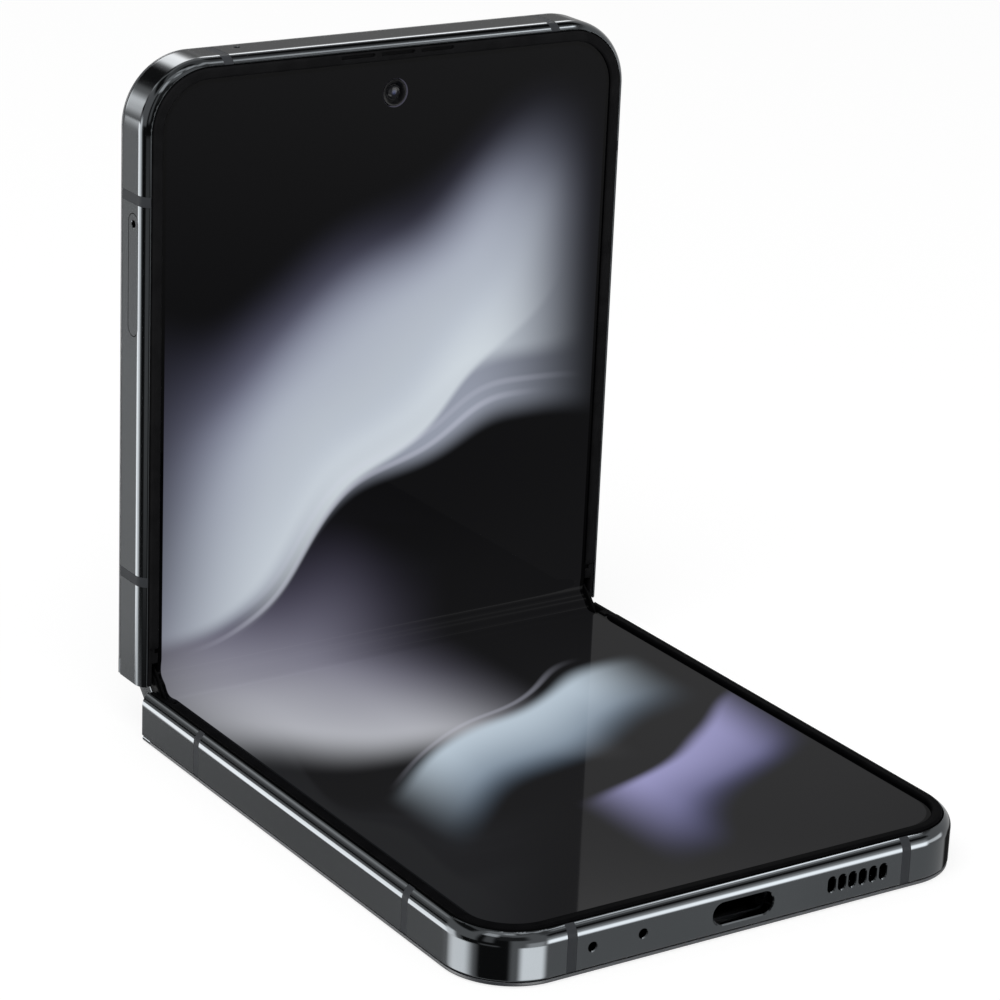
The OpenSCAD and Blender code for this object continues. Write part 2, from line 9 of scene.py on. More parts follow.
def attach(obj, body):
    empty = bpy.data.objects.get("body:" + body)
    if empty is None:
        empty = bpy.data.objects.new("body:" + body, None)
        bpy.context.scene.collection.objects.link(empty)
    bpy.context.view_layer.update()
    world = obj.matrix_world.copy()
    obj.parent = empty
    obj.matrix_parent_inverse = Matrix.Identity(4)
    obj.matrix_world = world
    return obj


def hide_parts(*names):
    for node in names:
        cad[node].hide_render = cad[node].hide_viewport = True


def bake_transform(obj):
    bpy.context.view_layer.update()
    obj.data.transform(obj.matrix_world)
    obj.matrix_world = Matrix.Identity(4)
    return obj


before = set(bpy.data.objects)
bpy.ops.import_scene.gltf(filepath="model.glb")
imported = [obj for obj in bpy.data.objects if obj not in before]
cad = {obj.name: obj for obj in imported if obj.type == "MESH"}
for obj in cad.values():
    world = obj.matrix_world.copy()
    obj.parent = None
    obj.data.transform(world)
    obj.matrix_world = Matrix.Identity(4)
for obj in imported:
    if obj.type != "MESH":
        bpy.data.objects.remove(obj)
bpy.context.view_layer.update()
scene = bpy.context.scene

# ---------- sizes in mm, as in the CAD ----------
# A half is drawn flat, with its hinge line at y = 0, and runs along -Y.
# Width, length, thickness and corner radius of a half
W, HALF, THICK, CORNER = 71.9, 82.55, 6.9, 9.0
# The metal wall's thickness, and its top fillet's radius, the lip's distance in and the fillet's lower edge
WALL, EDGE_R, EDGE_W, EDGE_Z = 1.6, 2.0, 1.0, 4.87
# The wall's chamfered foot, the fillet's turn in degrees and steps, and the lip that the fillet meets
FOOT_E, FOOT_Z, FILLET_TURN, FILLET_STEPS = 0.14, 0.8, 57, 13
LIP_E, LIP_Z, CREST_Z, CREST_R, LIP_STEPS = 0.9, 6.544, 6.602, 0.09, 14
END_GAP, GLASS_T, GLASS_INSET = 0.4, 0.6, 0.3
DISPLAY_Z, DECK_Z, UNDER_DECK = 6.4, 5.7, 4.9
PANEL_INSET, RIM_REACH, RIM_GAP, BEND_L, BEND_W = 2.0, 2.5, 0.15, 5.0, 33.4
# The hinge axes stand AXIS_Y from the middle. The spine cover's walls are arcs about them.
AXIS_Y, AXIS_Z, SPINE_R, SPINE_Z, SPINE_END, SPINE_T = 1.6, 5.95, 5.2, 1.8, 34.15, 0.5
SPINE_TOP = UNDER_DECK - 0.15
# Antenna breaks: on the sides, on the end, their width, how far they lie under the metal and clear of it
BREAKS_Y, BREAK_X, BREAK_W, BREAK_SUNK, BREAK_PLAY = (14.9, 65.15), 24.3, 1.35, 0.012, 0.015
# Openings in the base's end wall, and the microphone hole in the lid's
PORT_Z, PORT_W, PORT_H = 3.05, 8.75, 2.85
SLOTS, SLOT_X, SLOT_PITCH, SLOT_W, SLOT_H = 6, 13.05, 1.556, 1.08, 2.0
MICS_X, MIC_D, TOP_MIC_X, TOP_MIC_Z, TOP_MIC_D = (-21.45, -14.4), 1.12, -20.8, 2.1, 0.9
# Tray and keys
TRAY_Y, TRAY_Z, TRAY_L, TRAY_H = -55.25, 3.65, 15.8, 2.4
KEY_Z, KEY_H, VOLUME_Y, VOLUME_L, SIDE_KEY_Y, SIDE_KEY_L = 3.4, 2.2, -53.0, 18.0, -34.5, 11.0
CAMERAS_X, CAMERA_Y, FLASH, SELFIE_Y = (11.5, 26.0), -71.0, (18.75, -62.0), -75.7
# Each hinge axis has turned this far at rest
FOLD = 45.0


# ---------- placing ----------
def shift(x, y, z):
    m = np.eye(4)
    m[:3, 3] = (x, y, z)
    return m


def turn_x(angle):
    c, s = math.cos(math.radians(angle)), math.sin(math.radians(angle))
    m = np.eye(4)
    m[1:3, 1:3] = ((c, -s), (s, c))
    return m


def fold_about(y, angle):
    return shift(0, y, AXIS_Z) @ turn_x(angle) @ shift(0, -y, -AXIS_Z)


ON_BASE = shift(0, HALF / 2, 0)
ON_SPINE = ON_BASE @ fold_about(-AXIS_Y, FOLD)
ON_LID = ON_SPINE @ fold_about(AXIS_Y, FOLD) @ np.diag([1.0, -1.0, 1.0, 1.0])


def placed(points, placing):
    return (np.asarray(points, float) @ placing[:3, :3].T + placing[:3, 3]) * 0.001


# ---------- mesh helpers: a shape is (points, faces) in mm ----------
def loft(rings):
    n = len(rings[0])
    faces = []
    for i in range(len(rings) - 1):
        a, b = i * n, (i + 1) * n
        faces += [(a + k, a + (k + 1) % n, b + (k + 1) % n, b + k) for k in range(n)]
    last = (len(rings) - 1) * n
    faces += [tuple(range(n))[::-1], tuple(range(last, last + n))]
    return [tuple(p) for ring in rings for p in ring], faces


def merged(*shapes):
    points, faces = [], []
    for p, f in shapes:
        faces += [tuple(i + len(points) for i in face) for face in f]
        points += list(p)
    return points, faces


def rounded(corners, steps=6):
    """Polygon with fillets. Each corner is (a, b, radius)."""
    out, n = [], len(corners)
    for i, (a, b, r) in enumerate(corners):
        p = np.array((a, b), float)
        if r <= 0:
            out.append(tuple(p))
            continue
        u = np.array(corners[i - 1][:2], float) - p
        v = np.array(corners[(i + 1) % n][:2], float) - p
        u, v = u / np.linalg.norm(u), v / np.linalg.norm(v)
        half = math.acos(max(-1.0, min(1.0, float(u @ v)))) / 2
        middle = p + (u + v) / np.linalg.norm(u + v) * r / math.sin(half)
        start, end = p + u * r / math.tan(half) - middle, p + v * r / math.tan(half) - middle
        a0, a1 = math.atan2(start[1], start[0]), math.atan2(end[1], end[0])
        sweep_angle = (a1 - a0 + math.pi) % (2 * math.pi) - math.pi
        for k in range(steps + 1):
            t = a0 + sweep_angle * k / steps
            out.append((middle[0] + r * math.cos(t), middle[1] + r * math.sin(t)))
    return out


def grown(outline, d):
    """Outline moved outwards by d."""
    p = np.asarray(outline, float)
    area = 0.5 * float(np.sum(p[:, 0] * np.roll(p[:, 1], -1) - np.roll(p[:, 0], -1) * p[:, 1]))
    e = np.roll(p, -1, axis=0) - p
    e /= np.linalg.norm(e, axis=1)[:, None]
    out = np.stack([e[:, 1], -e[:, 0]], 1) * (1 if area > 0 else -1)
    both = np.roll(out, 1, axis=0) + out
    scale = 2 / np.maximum(np.sum(both * both, axis=1), 0.5)
    return p + both * scale[:, None] * d


def stadium(ca, cb, w, h, steps=14):
    r = min(w, h) / 2
    da, db = w / 2 - r, h / 2 - r
    spans = ((da, -db, -90, 0), (da, db, 0, 90), (-da, db, 90, 180), (-da, -db, 180, 270))
    points = []
    for a, b, t0, t1 in spans:
        for k in range(steps + 1):
            t = math.radians(t0 + (t1 - t0) * k / steps)
            q = (ca + a + r * math.cos(t), cb + b + r * math.sin(t))
            if not points or math.dist(q, points[-1]) > 1e-6:
                points.append(q)
    if math.dist(points[0], points[-1]) < 1e-6:
        points.pop()
    return points


def prism(outline, where, a0, a1, bevel=0.1, far_bevel=None, steps=3):
    """Outline carried from a0 to a1, with rounded edges at both ends.

    where(p, a) gives the point in space."""
    far_bevel = bevel if far_bevel is None else far_bevel
    sign = 1 if a1 > a0 else -1
    levels = []
    for k in range(steps + 1):
        t = math.pi / 2 * k / steps
        levels.append((a0 + sign * bevel * (1 - math.sin(t)), -bevel * (1 - math.cos(t))))
    levels = levels[::-1] if bevel else [(a0, 0.0)]
    levels = [(a, d) for a, d in sorted(levels, key=lambda v: sign * v[0])]
    tail = []
    for k in range(steps + 1):
        t = math.pi / 2 * k / steps
        tail.append((a1 - sign * far_bevel * (1 - math.sin(t)), -far_bevel * (1 - math.cos(t))))
    tail = sorted(tail, key=lambda v: sign * v[0]) if far_bevel else [(a1, 0.0)]
    rings = [[where(p, a) for p in grown(outline, d)] for a, d in levels + tail]
    return loft(rings)


def flared(outline, where, flare, depth, slope=1.0):
    """Cutter that starts outside the face at a = 0.

    Its chamfer has the width flare and the depth flare times slope."""
    out = 0.4 * slope
    rings = [(-out, flare + 0.4), (flare * slope, 0.0), (depth, 0.0)]
    return loft([[where(p, a) for p in grown(outline, d)] for a, d in rings])


def at_end(p, a):
    return (p[0], -HALF + a, p[1])


def at_left(p, a):
    return (-W / 2 + a, p[0], p[1])


def at_right(p, a):
    return (W / 2 - a, p[0], p[1])


def on_top(z):
    return lambda p, a: (p[0], p[1], z - a)


def across(p, a):
    return (a, p[0], p[1])


def to_side(s):
    """For a prism that runs out to the left (s = -1) or the right (s = 1)."""
    return lambda p, a: (s * a, p[0], p[1])


def lathe(section, cx, cy, steps):
    """Closed section of (radius, z) turned about the vertical through cx, cy."""
    rings = []
    for k in range(steps):
        t = 2 * math.pi * k / steps
        rings.append([(cx + r * math.cos(t), cy + r * math.sin(t), z) for r, z in section])
    n = len(section)
    points = [p for ring in rings for p in ring]
    faces = []
    for i in range(steps):
        a, b = i * n, (i + 1) % steps * n
        faces += [(a + k, a + (k + 1) % n, b + (k + 1) % n, b + k) for k in range(n)]
    return points, faces


def turned(profile, cx, cy, steps=72):
    """Profile of (radius, z) that starts and ends on the axis."""
    inner = profile[1:-1]
    n = len(inner)
    points = []
    for k in range(steps):
        t = 2 * math.pi * k / steps
        points += [(cx + r * math.cos(t), cy + r * math.sin(t), z) for r, z in inner]
    first, last = len(points), len(points) + 1
    points += [(cx, cy, profile[0][1]), (cx, cy, profile[-1][1])]
    faces = []
    for i in range(steps):
        a, b = i * n, (i + 1) % steps * n
        faces += [(a + k, a + k + 1, b + k + 1, b + k) for k in range(n - 1)]
        faces += [(first, a, b), (last, b + n - 1, a + n - 1)]
    return points, faces


# ---------- the outline of a half, walked from its left hinge end round to its right one ----------
ARC = CORNER * math.pi / 2
END_L = W - 2 * CORNER
ARC_STEPS, ARC_MARGIN = 30, 0.4


def length_of(near):
    return 2 * (HALF - CORNER - near) + 2 * ARC + END_L


def outline_at(s, near):
    """(x, y) and the inward normal at a distance s along the outline."""
    side, far = HALF - CORNER - near, -HALF + CORNER
    if s <= side:
        return -W / 2, -near - s, 1.0, 0.0
    if s <= side + ARC:
        t = math.pi + (s - side) / CORNER
        nx, ny = -math.cos(t), -math.sin(t)
        return -W / 2 + CORNER - CORNER * nx, far - CORNER * ny, nx, ny
    if s <= side + ARC + END_L:
        return -W / 2 + CORNER + s - side - ARC, -HALF, 0.0, 1.0
    if s <= side + 2 * ARC + END_L:
        t = 1.5 * math.pi + (s - side - ARC - END_L) / CORNER
        nx, ny = -math.cos(t), -math.sin(t)
        return W / 2 - CORNER - CORNER * nx, far - CORNER * ny, nx, ny
    return W / 2, far + s - side - 2 * ARC - END_L, -1.0, 0.0


def stations(s0, s1, near):
    """Where a sweep has its rings: at both ends, round each corner, and just before and after it."""
    side = HALF - CORNER - near
    marks = {s0, s1}
    for start in (side, side + ARC + END_L):
        marks |= {start - ARC_MARGIN, start + ARC + ARC_MARGIN}
        marks |= {start + ARC * k / ARC_STEPS for k in range(ARC_STEPS + 1)}
    return sorted(m for m in marks if s0 <= m <= s1)


def sweep(profile, s0, s1, near, adjust=None, extra=()):
    """Profile of (distance in, z) carried along the outline from s0 to s1. adjust(profile, s) changes it."""
    rings = []
    for s in sorted(set(stations(s0, s1, near)) | set(extra)):
        x, y, nx, ny = outline_at(s, near)
        section = adjust(profile, s) if adjust else profile
        rings.append([(x + nx * e, y + ny * e, z) for e, z in section])
    return loft(rings)


def half_outline(inset, near):
    r = CORNER - inset
    w = W / 2 - inset
    points = [(-w, -near)]
    for cx, t0 in ((-w + r, 180), (w - r, 270)):
        for k in range(ARC_STEPS + 1):
            t = math.radians(t0 + 90 * k / ARC_STEPS)
            points.append((cx + r * math.cos(t), -HALF + CORNER + r * math.sin(t)))
    points.append((w, -near))
    return points


def slab(levels, near):
    """Plate from levels of (inset, z, how far its hinge edge moves in)."""
    return loft([[(x, y, z) for x, y in half_outline(inset, near + back)] for inset, z, back in levels])


def break_spans(near):
    """Where each antenna break starts and ends along the outline."""
    total, side = length_of(near), HALF - CORNER - near
    middles = [y - near for y in BREAKS_Y] + [side + ARC + W / 2 - CORNER - BREAK_X]
    spans = [(m - BREAK_W / 2, m + BREAK_W / 2) for m in middles]
    return spans + [(total - b, total - a) for a, b in reversed(spans)]


def wall_profile():
    """Section of the wall as (distance in, z): foot, face, fillet, lip and inner side."""
    foot = rounded([(WALL, GLASS_T, 0), (FOOT_E, GLASS_T, 0.03), (0.0, FOOT_Z, 0.12), (0.0, EDGE_Z, 0),
                    (WALL, EDGE_Z, 0)], 4)[:-2]
    face = [(0.0, 1.15), (0.0, EDGE_Z - 0.15)]
    fillet = []
    for k in range(FILLET_STEPS + 1):
        t = math.radians(180 - FILLET_TURN * k / FILLET_STEPS)
        fillet.append((EDGE_R + EDGE_R * math.cos(t), EDGE_Z + EDGE_R * math.sin(t)))
    lip = rounded([(LIP_E, LIP_Z, 0), (EDGE_W, CREST_Z, CREST_R), (EDGE_W, 6.2, 0)], LIP_STEPS)[1:-1]
    return foot + face + fillet + lip + [(EDGE_W, DECK_Z), (WALL, DECK_Z)]


# ---------- objects ----------
def mesh_of(name, shape, placing, uv=None):
    points, faces = shape
    me = bpy.data.meshes.new(name)
    me.from_pydata(placed(points, placing).tolist(), [], faces)
    me.validate()
    if uv is not None:
        layer = me.uv_layers.new(name="screen")
        values = np.asarray(uv, float)
        for loop in me.loops:
            layer.data[loop.index].uv = values[loop.vertex_index]
    bm = bmesh.new()
    bm.from_mesh(me)
    bmesh.ops.recalc_face_normals(bm, faces=bm.faces)
    bm.to_mesh(me)
    bm.free()
    return me


def thing(name, me):
    o = bpy.data.objects.new(name, me)
    scene.collection.objects.link(o)
    return o


def cut(me, cutters, placing):
    """me with the cutter shapes taken out of it, by an exact Boolean."""
    body = thing("cut_body", me)
    tool = thing("cut_tool", mesh_of("cut_tool", merged(*cutters), placing))
    mod = body.modifiers.new("cut", "BOOLEAN")
    mod.operation, mod.solver, mod.object = "DIFFERENCE", "EXACT", tool
    mod.use_self = True
    dg = bpy.context.evaluated_depsgraph_get()
    out = bpy.data.meshes.new_from_object(body.evaluated_get(dg), depsgraph=dg)
    for o in (body, tool):
        bpy.data.objects.remove(o)
    return out


def joined(*meshes):
    bm = bmesh.new()
    for me in meshes:
        bm.from_mesh(me)
    me = bpy.data.meshes.new("joined")
    bm.to_mesh(me)
    bm.free()
    return me


def piece(name, me, material, body, replaces, angle=28):
    """Visible piece on a body, in place of CAD nodes. Edges sharper than angle, in degrees, stay sharp."""
    me.name = name
    me.materials.clear()
    me.materials.append(material)
    me.shade_smooth()
    me.set_sharp_from_angle(angle=math.radians(angle))
    o = thing(name, me)
    if body:
        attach(o, body)
    if replaces:
        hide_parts(*replaces)
    return o


# ---------- shader helpers ----------
class Num:
    """A number in a node tree. Python's own signs make the Math nodes."""

    def __init__(self, tree, socket):
        self.tree, self.socket = tree, socket

    def op(self, name, *others):
        n = self.tree.nodes.new("ShaderNodeMath")
        n.operation = name
        for i, v in enumerate((self, *others)):
            if isinstance(v, Num):
                self.tree.links.new(v.socket, n.inputs[i])
            else:
                n.inputs[i].default_value = v
        return Num(self.tree, n.outputs[0])

    def __add__(self, o):
        return self.op("ADD", o)

    __radd__ = __add__

    def __sub__(self, o):
        return self.op("SUBTRACT", o)

    def __rsub__(self, o):
        return self.op("MULTIPLY", -1.0).op("ADD", o)

    def __mul__(self, o):
        return self.op("MULTIPLY", o)

    def sin(self):
        return self.op("SINE")

    def abs(self):
        return self.op("ABSOLUTE")

    def step(self, lo, hi):
        n = self.tree.nodes.new("ShaderNodeMapRange")
        n.interpolation_type = "SMOOTHSTEP"
        self.tree.links.new(self.socket, n.inputs["Value"])
        n.inputs["From Min"].default_value, n.inputs["From Max"].default_value = lo, hi
        return Num(self.tree, n.outputs["Result"])

    def window(self, lo, hi, soft):
        return self.step(lo - soft, lo + soft) * (1 - self.step(hi - soft, hi + soft))


def node(tree, kind, **values):
    """New node. Each value is set on the node's own property of that name, or else on its input socket."""
    n = tree.nodes.new(kind)
    for key, value in values.items():
        if isinstance(getattr(n, key, None), (str, bool, int, float)):
            setattr(n, key, value)
        else:
            n.inputs[key.replace("_", " ")].default_value = value
    return n


def rgb(r, g, b):
    """Linear colour from display values of 0 to 255."""
    linear = tuple(((v / 255 + 0.055) / 1.055) ** 2.4 if v > 10 else v / 255 / 12.92 for v in (r, g, b))
    return linear + (1.0,)


def mix(tree, factor, a, b):
    n = tree.nodes.new("ShaderNodeMix")
    n.data_type = "RGBA"
    for key, v in ((0, factor), (6, a), (7, b)):
        if isinstance(v, Num):
            tree.links.new(v.socket, n.inputs[key])
        elif isinstance(v, bpy.types.NodeSocket):
            tree.links.new(v, n.inputs[key])
        else:
            n.inputs[key].default_value = v
    return n.outputs[2]


def blank(name):
    m = bpy.data.materials.new(name)
    m.use_nodes = True
    tree = m.node_tree
    tree.nodes.clear()
    out = tree.nodes.new("ShaderNodeOutputMaterial")
    bsdf = tree.nodes.new("ShaderNodeBsdfPrincipled")
    tree.links.new(bsdf.outputs[0], out.inputs["Surface"])
    return m, tree, bsdf


def noise(tree, vector, scale, detail=2.0, rough=0.5):
    n = node(tree, "ShaderNodeTexNoise", Scale=scale, Detail=detail, Roughness=rough)
    tree.links.new(vector, n.inputs["Vector"])
    return Num(tree, n.outputs["Fac"])


def bump(tree, bsdf, height, distance):
    n = node(tree, "ShaderNodeBump", Distance=distance)
    tree.links.new(height.socket, n.inputs["Height"])
    tree.links.new(n.outputs[0], bsdf.inputs["Normal"])


def surface(name, colour, metallic, rough, vary, grain, depth, shade, patch, stretch=(1, 1, 1), level=0.5,
            coat=0.0, second=None):
    """Finish with two scales of noise: patches shade the colour, fine grain drives roughness and relief.

    vary is how far the roughness varies and shade how far the colour does, grain and patch are the two
    noises' scales, depth is the relief in metres, and second is the grain's own colour, if it has one."""
    m, tree, bsdf = blank(name)
    where = node(tree, "ShaderNodeTexCoord").outputs["Object"]
    mapping = node(tree, "ShaderNodeMapping", Scale=stretch)
    tree.links.new(where, mapping.inputs["Vector"])
    coarse = noise(tree, where, patch, 3.0)
    fine = noise(tree, mapping.outputs[0], grain, 4.0, 0.6)
    dark = tuple(v * (1 - shade) for v in colour[:3]) + (1.0,)
    light = tuple(min(1.0, v * (1 + shade)) for v in colour[:3]) + (1.0,)
    tone = mix(tree, coarse.step(0.3, 0.7), dark, light)
    if second:
        tone = mix(tree, fine.step(0.45, 0.62), tone, second)
    tree.links.new(tone, bsdf.inputs["Base Color"])
    roughness = fine * vary + coarse * (vary * 0.5) + (rough - vary * 0.75)
    tree.links.new(roughness.socket, bsdf.inputs["Roughness"])
    bsdf.inputs["Metallic"].default_value = metallic
    bsdf.inputs["Specular IOR Level"].default_value = level
    bsdf.inputs["Coat Weight"].default_value = coat
    bsdf.inputs["Coat Roughness"].default_value = 0.05
    bump(tree, bsdf, fine, depth)
    return m


GRAPHITE = (0.075, 0.081, 0.086, 1.0)
# Painted shade: the hinge steel and pin greys are darkened for the shade inside the hinge. The real parts are
# steel-coloured.
HINGE_GREY_PAINTED_SHADE = (0.05, 0.051, 0.053, 1.0)
PIN_GREY_PAINTED_SHADE = (0.06, 0.061, 0.064, 1.0)
SCREW_GREY = (0.3, 0.31, 0.32, 1.0)
SHELL_GREY = (0.05, 0.052, 0.056, 1.0)
COPPER = (0.65, 0.3, 0.15, 1.0)
frame_metal = surface("frame_metal", GRAPHITE, 1.0, 0.08, 0.02, 900.0, 1e-8, 0.04, 45.0)
spine_metal = surface("spine_metal", GRAPHITE, 1.0, 0.15, 0.05, 1800.0, 1e-7, 0.08, 60.0)
key_metal = surface("key_metal", GRAPHITE, 1.0, 0.09, 0.02, 1500.0, 1e-8, 0.04, 80.0)
# Hinge steel and pins, darkened as painted shade
hinge_steel_shaded = surface("hinge_steel", HINGE_GREY_PAINTED_SHADE, 1.0, 0.32, 0.14, 1600.0, 1e-6, 0.1, 200.0, stretch=(1, 8, 8))
pin_steel = surface("pin_steel", PIN_GREY_PAINTED_SHADE, 1.0, 0.25, 0.08, 3000.0, 5e-7, 0.06, 400.0, stretch=(6, 1, 1))
screw_steel = surface("screw_steel", SCREW_GREY, 1.0, 0.3, 0.1, 4000.0, 1e-6, 0.1, 500.0)
connector_steel = surface("connector_steel", SHELL_GREY, 1.0, 0.25, 0.1, 3500.0, 8e-7, 0.1, 400.0,
                          stretch=(1, 5, 1))
coil_copper = surface("coil_copper", COPPER, 1.0, 0.3, 0.1, 4000.0, 6e-6, 0.15, 300.0)
break_plastic = surface("antenna_plastic", rgb(60, 62, 65), 0.0, 0.35, 0.1, 5200.0, 1e-6, 0.06, 300.0,
                        level=0.02)
# Both rims are one plastic, painted in two tones for how light falls. The base's copy is darker, as painted
# shade, and the lid's copy is lighter, as painted light.
rim_plastic = surface("rim_plastic", rgb(12, 12, 13), 0.0, 0.36, 0.1, 7000.0, 1e-6, 0.15, 400.0, level=0.002)
lid_rim_plastic_painted_lighter = surface("rim_plastic_lid_painted_lighter", rgb(26, 26, 27), 0.0, 0.36, 0.1, 7000.0, 1e-6, 0.15, 400.0,
                          level=0.002)
guard_plastic = surface("guard_plastic", rgb(8, 8, 9), 0.0, 0.3, 0.08, 5000.0, 1e-6, 0.15, 400.0, level=0.015)
black_plastic = surface("black_plastic", rgb(24, 25, 27), 0.0, 0.5, 0.12, 5000.0, 3e-6, 0.15, 500.0)
foil = surface("battery_foil", rgb(44, 46, 50), 0.35, 0.4, 0.15, 700.0, 2e-5, 0.15, 90.0, stretch=(1, 3, 1))
board_green = surface("board", rgb(24, 62, 40), 0.0, 0.35, 0.1, 900.0, 4e-6, 0.2, 300.0,
                      second=rgb(38, 84, 52))
flash_amber = surface("flash", rgb(232, 222, 186), 0.0, 0.25, 0.1, 2600.0, 2e-5, 0.12, 700.0, coat=0.6)
camera_black = surface("lens_barrel", rgb(8, 8, 10), 0.0, 0.3, 0.08, 4000.0, 1e-6, 0.2, 600.0, level=0.08)


def screen_material():
    """Folding display: a lit picture of soft flowing bands in a black border, under thin glass. UV in mm."""
    m, tree, bsdf = blank("display")
    uv = node(tree, "ShaderNodeUVMap", uv_map="screen").outputs[0]
    split = tree.nodes.new("ShaderNodeSeparateXYZ")
    tree.links.new(uv, split.inputs[0])
    u, v = Num(tree, split.outputs[0]), Num(tree, split.outputs[1])
    # Slow drift, so that no band runs straight
    drift = noise(tree, uv, 0.024, 1.0)
    fine = noise(tree, uv, 9.0, 2.0)
    vv = v + (drift - 0.5) * 30.0
    colour = mix(tree, vv.step(-70.0, 70.0), rgb(30, 30, 31), rgb(4, 4, 5))

    def band(colour, centre, low, high, soft_low, soft_high, left, right, soft_side, near, far,
             power=1.0):
        """A band about a line across the screen, softer on one edge, that fades out to both sides."""
        d = vv - centre
        mask = d.step(-low, -low + soft_low) * (1 - d.step(high - soft_high, high))
        mask = mask * u.step(left, left + soft_side) * (1 - u.step(right - soft_side, right)) * power
        return mix(tree, mask, colour, mix(tree, d.step(-low, high), near, far))

    wave = (u * 0.075 + 0.5).sin()
    slow = (u * 0.045 - 0.4).sin()
    # Lavender-grey veil that runs over the hinge on the left
    colour = band(colour, -6.0 - (u + 33.0) * 0.42, 24.0, 34.0, 16.0, 22.0, -46.0, 12.0, 24.0,
                  rgb(186, 188, 194), rgb(84, 80, 104))
    # Broad pale band over the middle of the lid
    colour = band(colour, 42.0 + u * 0.26 + wave * 5.0, 24.0, 22.0, 5.0, 20.0, -44.0, 35.0, 24.0,
                  rgb(150, 156, 170), rgb(88, 88, 112))
    colour = band(colour, 40.0 + u * 0.38 + wave * 7.0, 16.0, 17.0, 4.0, 16.0, -36.0, 32.0, 20.0,
                  rgb(196, 204, 212), rgb(158, 164, 182), 0.92)
    colour = band(colour, 34.0 + u * 0.56 + slow * 9.0, 7.0, 10.0, 2.0, 9.0, -24.0, 28.0, 18.0,
                  rgb(214, 222, 228), rgb(178, 186, 200), 0.8)
    # Pale blue and violet bands on the base
    colour = band(colour, -38.0 + u * 0.34 + wave * 5.0, 12.0, 11.0, 10.0, 4.0, -26.0, 30.0, 16.0,
                  rgb(96, 112, 130), rgb(190, 204, 216), 0.95)
    colour = band(colour, -63.0 + u * 0.40 + slow * 6.0, 10.0, 9.0, 9.0, 3.0, -6.0, 36.0, 13.0,
                  rgb(66, 68, 104), rgb(154, 152, 196), 0.95)
    # Fine strands along the edges of the bands
    strands = ((20.5, 0.30, -30.0, 26.0), (23.0, 0.16, -26.0, 32.0), (-26.5, 0.20, -24.0, 22.0))
    for centre, gain, left, right in strands:
        d = (vv - (centre + u * 0.33 + wave * 6.0)).abs()
        line = (1 - d.step(0.1, 0.9)) * u.step(left, left + 14.0) * (1 - u.step(right - 14.0, right)) * gain
        colour = mix(tree, line, colour, rgb(206, 208, 224))
    # Lit area: a rectangle with round corners
    r, hx, hy = 5.9, 32.85, HALF - 3.1
    qx, qy = (u.abs() - (hx - r)).op("MAXIMUM", 0.0), (v.abs() - (hy - r)).op("MAXIMUM", 0.0)
    lit = 1 - ((qx * qx + qy * qy).op("SQRT") - r).step(-0.05, 0.05)
    lit_colour = mix(tree, lit, (0.0, 0.0, 0.0, 1.0), colour)
    tree.links.new(lit_colour, bsdf.inputs["Emission Color"])
    bsdf.inputs["Emission Strength"].default_value = 1.0
    tree.links.new(mix(tree, lit, rgb(4, 4, 5), rgb(1, 1, 2)), bsdf.inputs["Base Color"])
    tree.links.new((fine * 0.012 + 0.03).socket, bsdf.inputs["Roughness"])
    bsdf.inputs["Specular IOR Level"].default_value = 0.011
    return m


def back_glass_material(window):
    """Satin glass back. The lid's has the cover display's glossy window. UV is in mm."""
    m, tree, bsdf = blank("back_glass_lid" if window else "back_glass_base")
    uv = node(tree, "ShaderNodeUVMap", uv_map="screen").outputs[0]
    where = node(tree, "ShaderNodeTexCoord").outputs["Object"]
    coarse, fine = noise(tree, where, 60.0, 2.0), noise(tree, where, 9000.0, 2.0)
    tone = mix(tree, coarse.step(0.3, 0.7), rgb(52, 54, 58), rgb(58, 60, 64))
    rough = fine * 0.06 + 0.3
    if window:
        split = tree.nodes.new("ShaderNodeSeparateXYZ")
        tree.links.new(uv, split.inputs[0])
        u, v = Num(tree, split.outputs[0]), Num(tree, split.outputs[1])
        r = 4.0
        qx = (u.abs() - (31.5 - r)).op("MAXIMUM", 0.0)
        qy = ((v + 44.2).abs() - (37.0 - r)).op("MAXIMUM", 0.0)
        inside = 1 - ((qx * qx + qy * qy).op("SQRT") - r).step(-0.05, 0.05)
        tone = mix(tree, inside, tone, rgb(7, 7, 9))
        rough = rough + inside * -0.27
    tree.links.new(tone, bsdf.inputs["Base Color"])
    tree.links.new(rough.socket, bsdf.inputs["Roughness"])
    bsdf.inputs["Coat Weight"].default_value = 0.15
    bsdf.inputs["Coat Roughness"].default_value = 0.12
    bump(tree, bsdf, fine, 3e-7)
    return m


def lens_material(name, radius, glow, gloss):
    """Coated lens glass with the rings of the barrel under it. UV is in mm from the lens's middle."""
    m, tree, bsdf = blank(name)
    uv = node(tree, "ShaderNodeUVMap", uv_map="screen").outputs[0]
    length = node(tree, "ShaderNodeVectorMath", operation="LENGTH")
    tree.links.new(uv, length.inputs[0])
    d = Num(tree, length.outputs["Value"]) * (1.0 / radius)
    grain = noise(tree, uv, 6.0, 2.0)
    tone = mix(tree, d.step(0.1, 0.5), glow, rgb(8, 9, 13))
    rings = (d * 46.0).sin().step(0.2, 0.9) * d.window(0.42, 0.86, 0.03)
    tone = mix(tree, rings * 0.6, tone, rgb(30, 31, 36))
    tone = mix(tree, d.window(0.30, 0.36, 0.02), tone, rgb(46, 48, 56))
    tree.links.new(tone, bsdf.inputs["Base Color"])
    tree.links.new((grain * 0.03 + 0.03).socket, bsdf.inputs["Roughness"])
    bsdf.inputs["Specular IOR Level"].default_value = gloss
    return m


display_material = screen_material()
base_glass, lid_glass = back_glass_material(False), back_glass_material(True)
rear_lens = lens_material("lens_glass", 4.75, rgb(24, 30, 62), 0.5)
front_lens = lens_material("front_lens_glass", 0.95, rgb(44, 54, 96), 0.1)

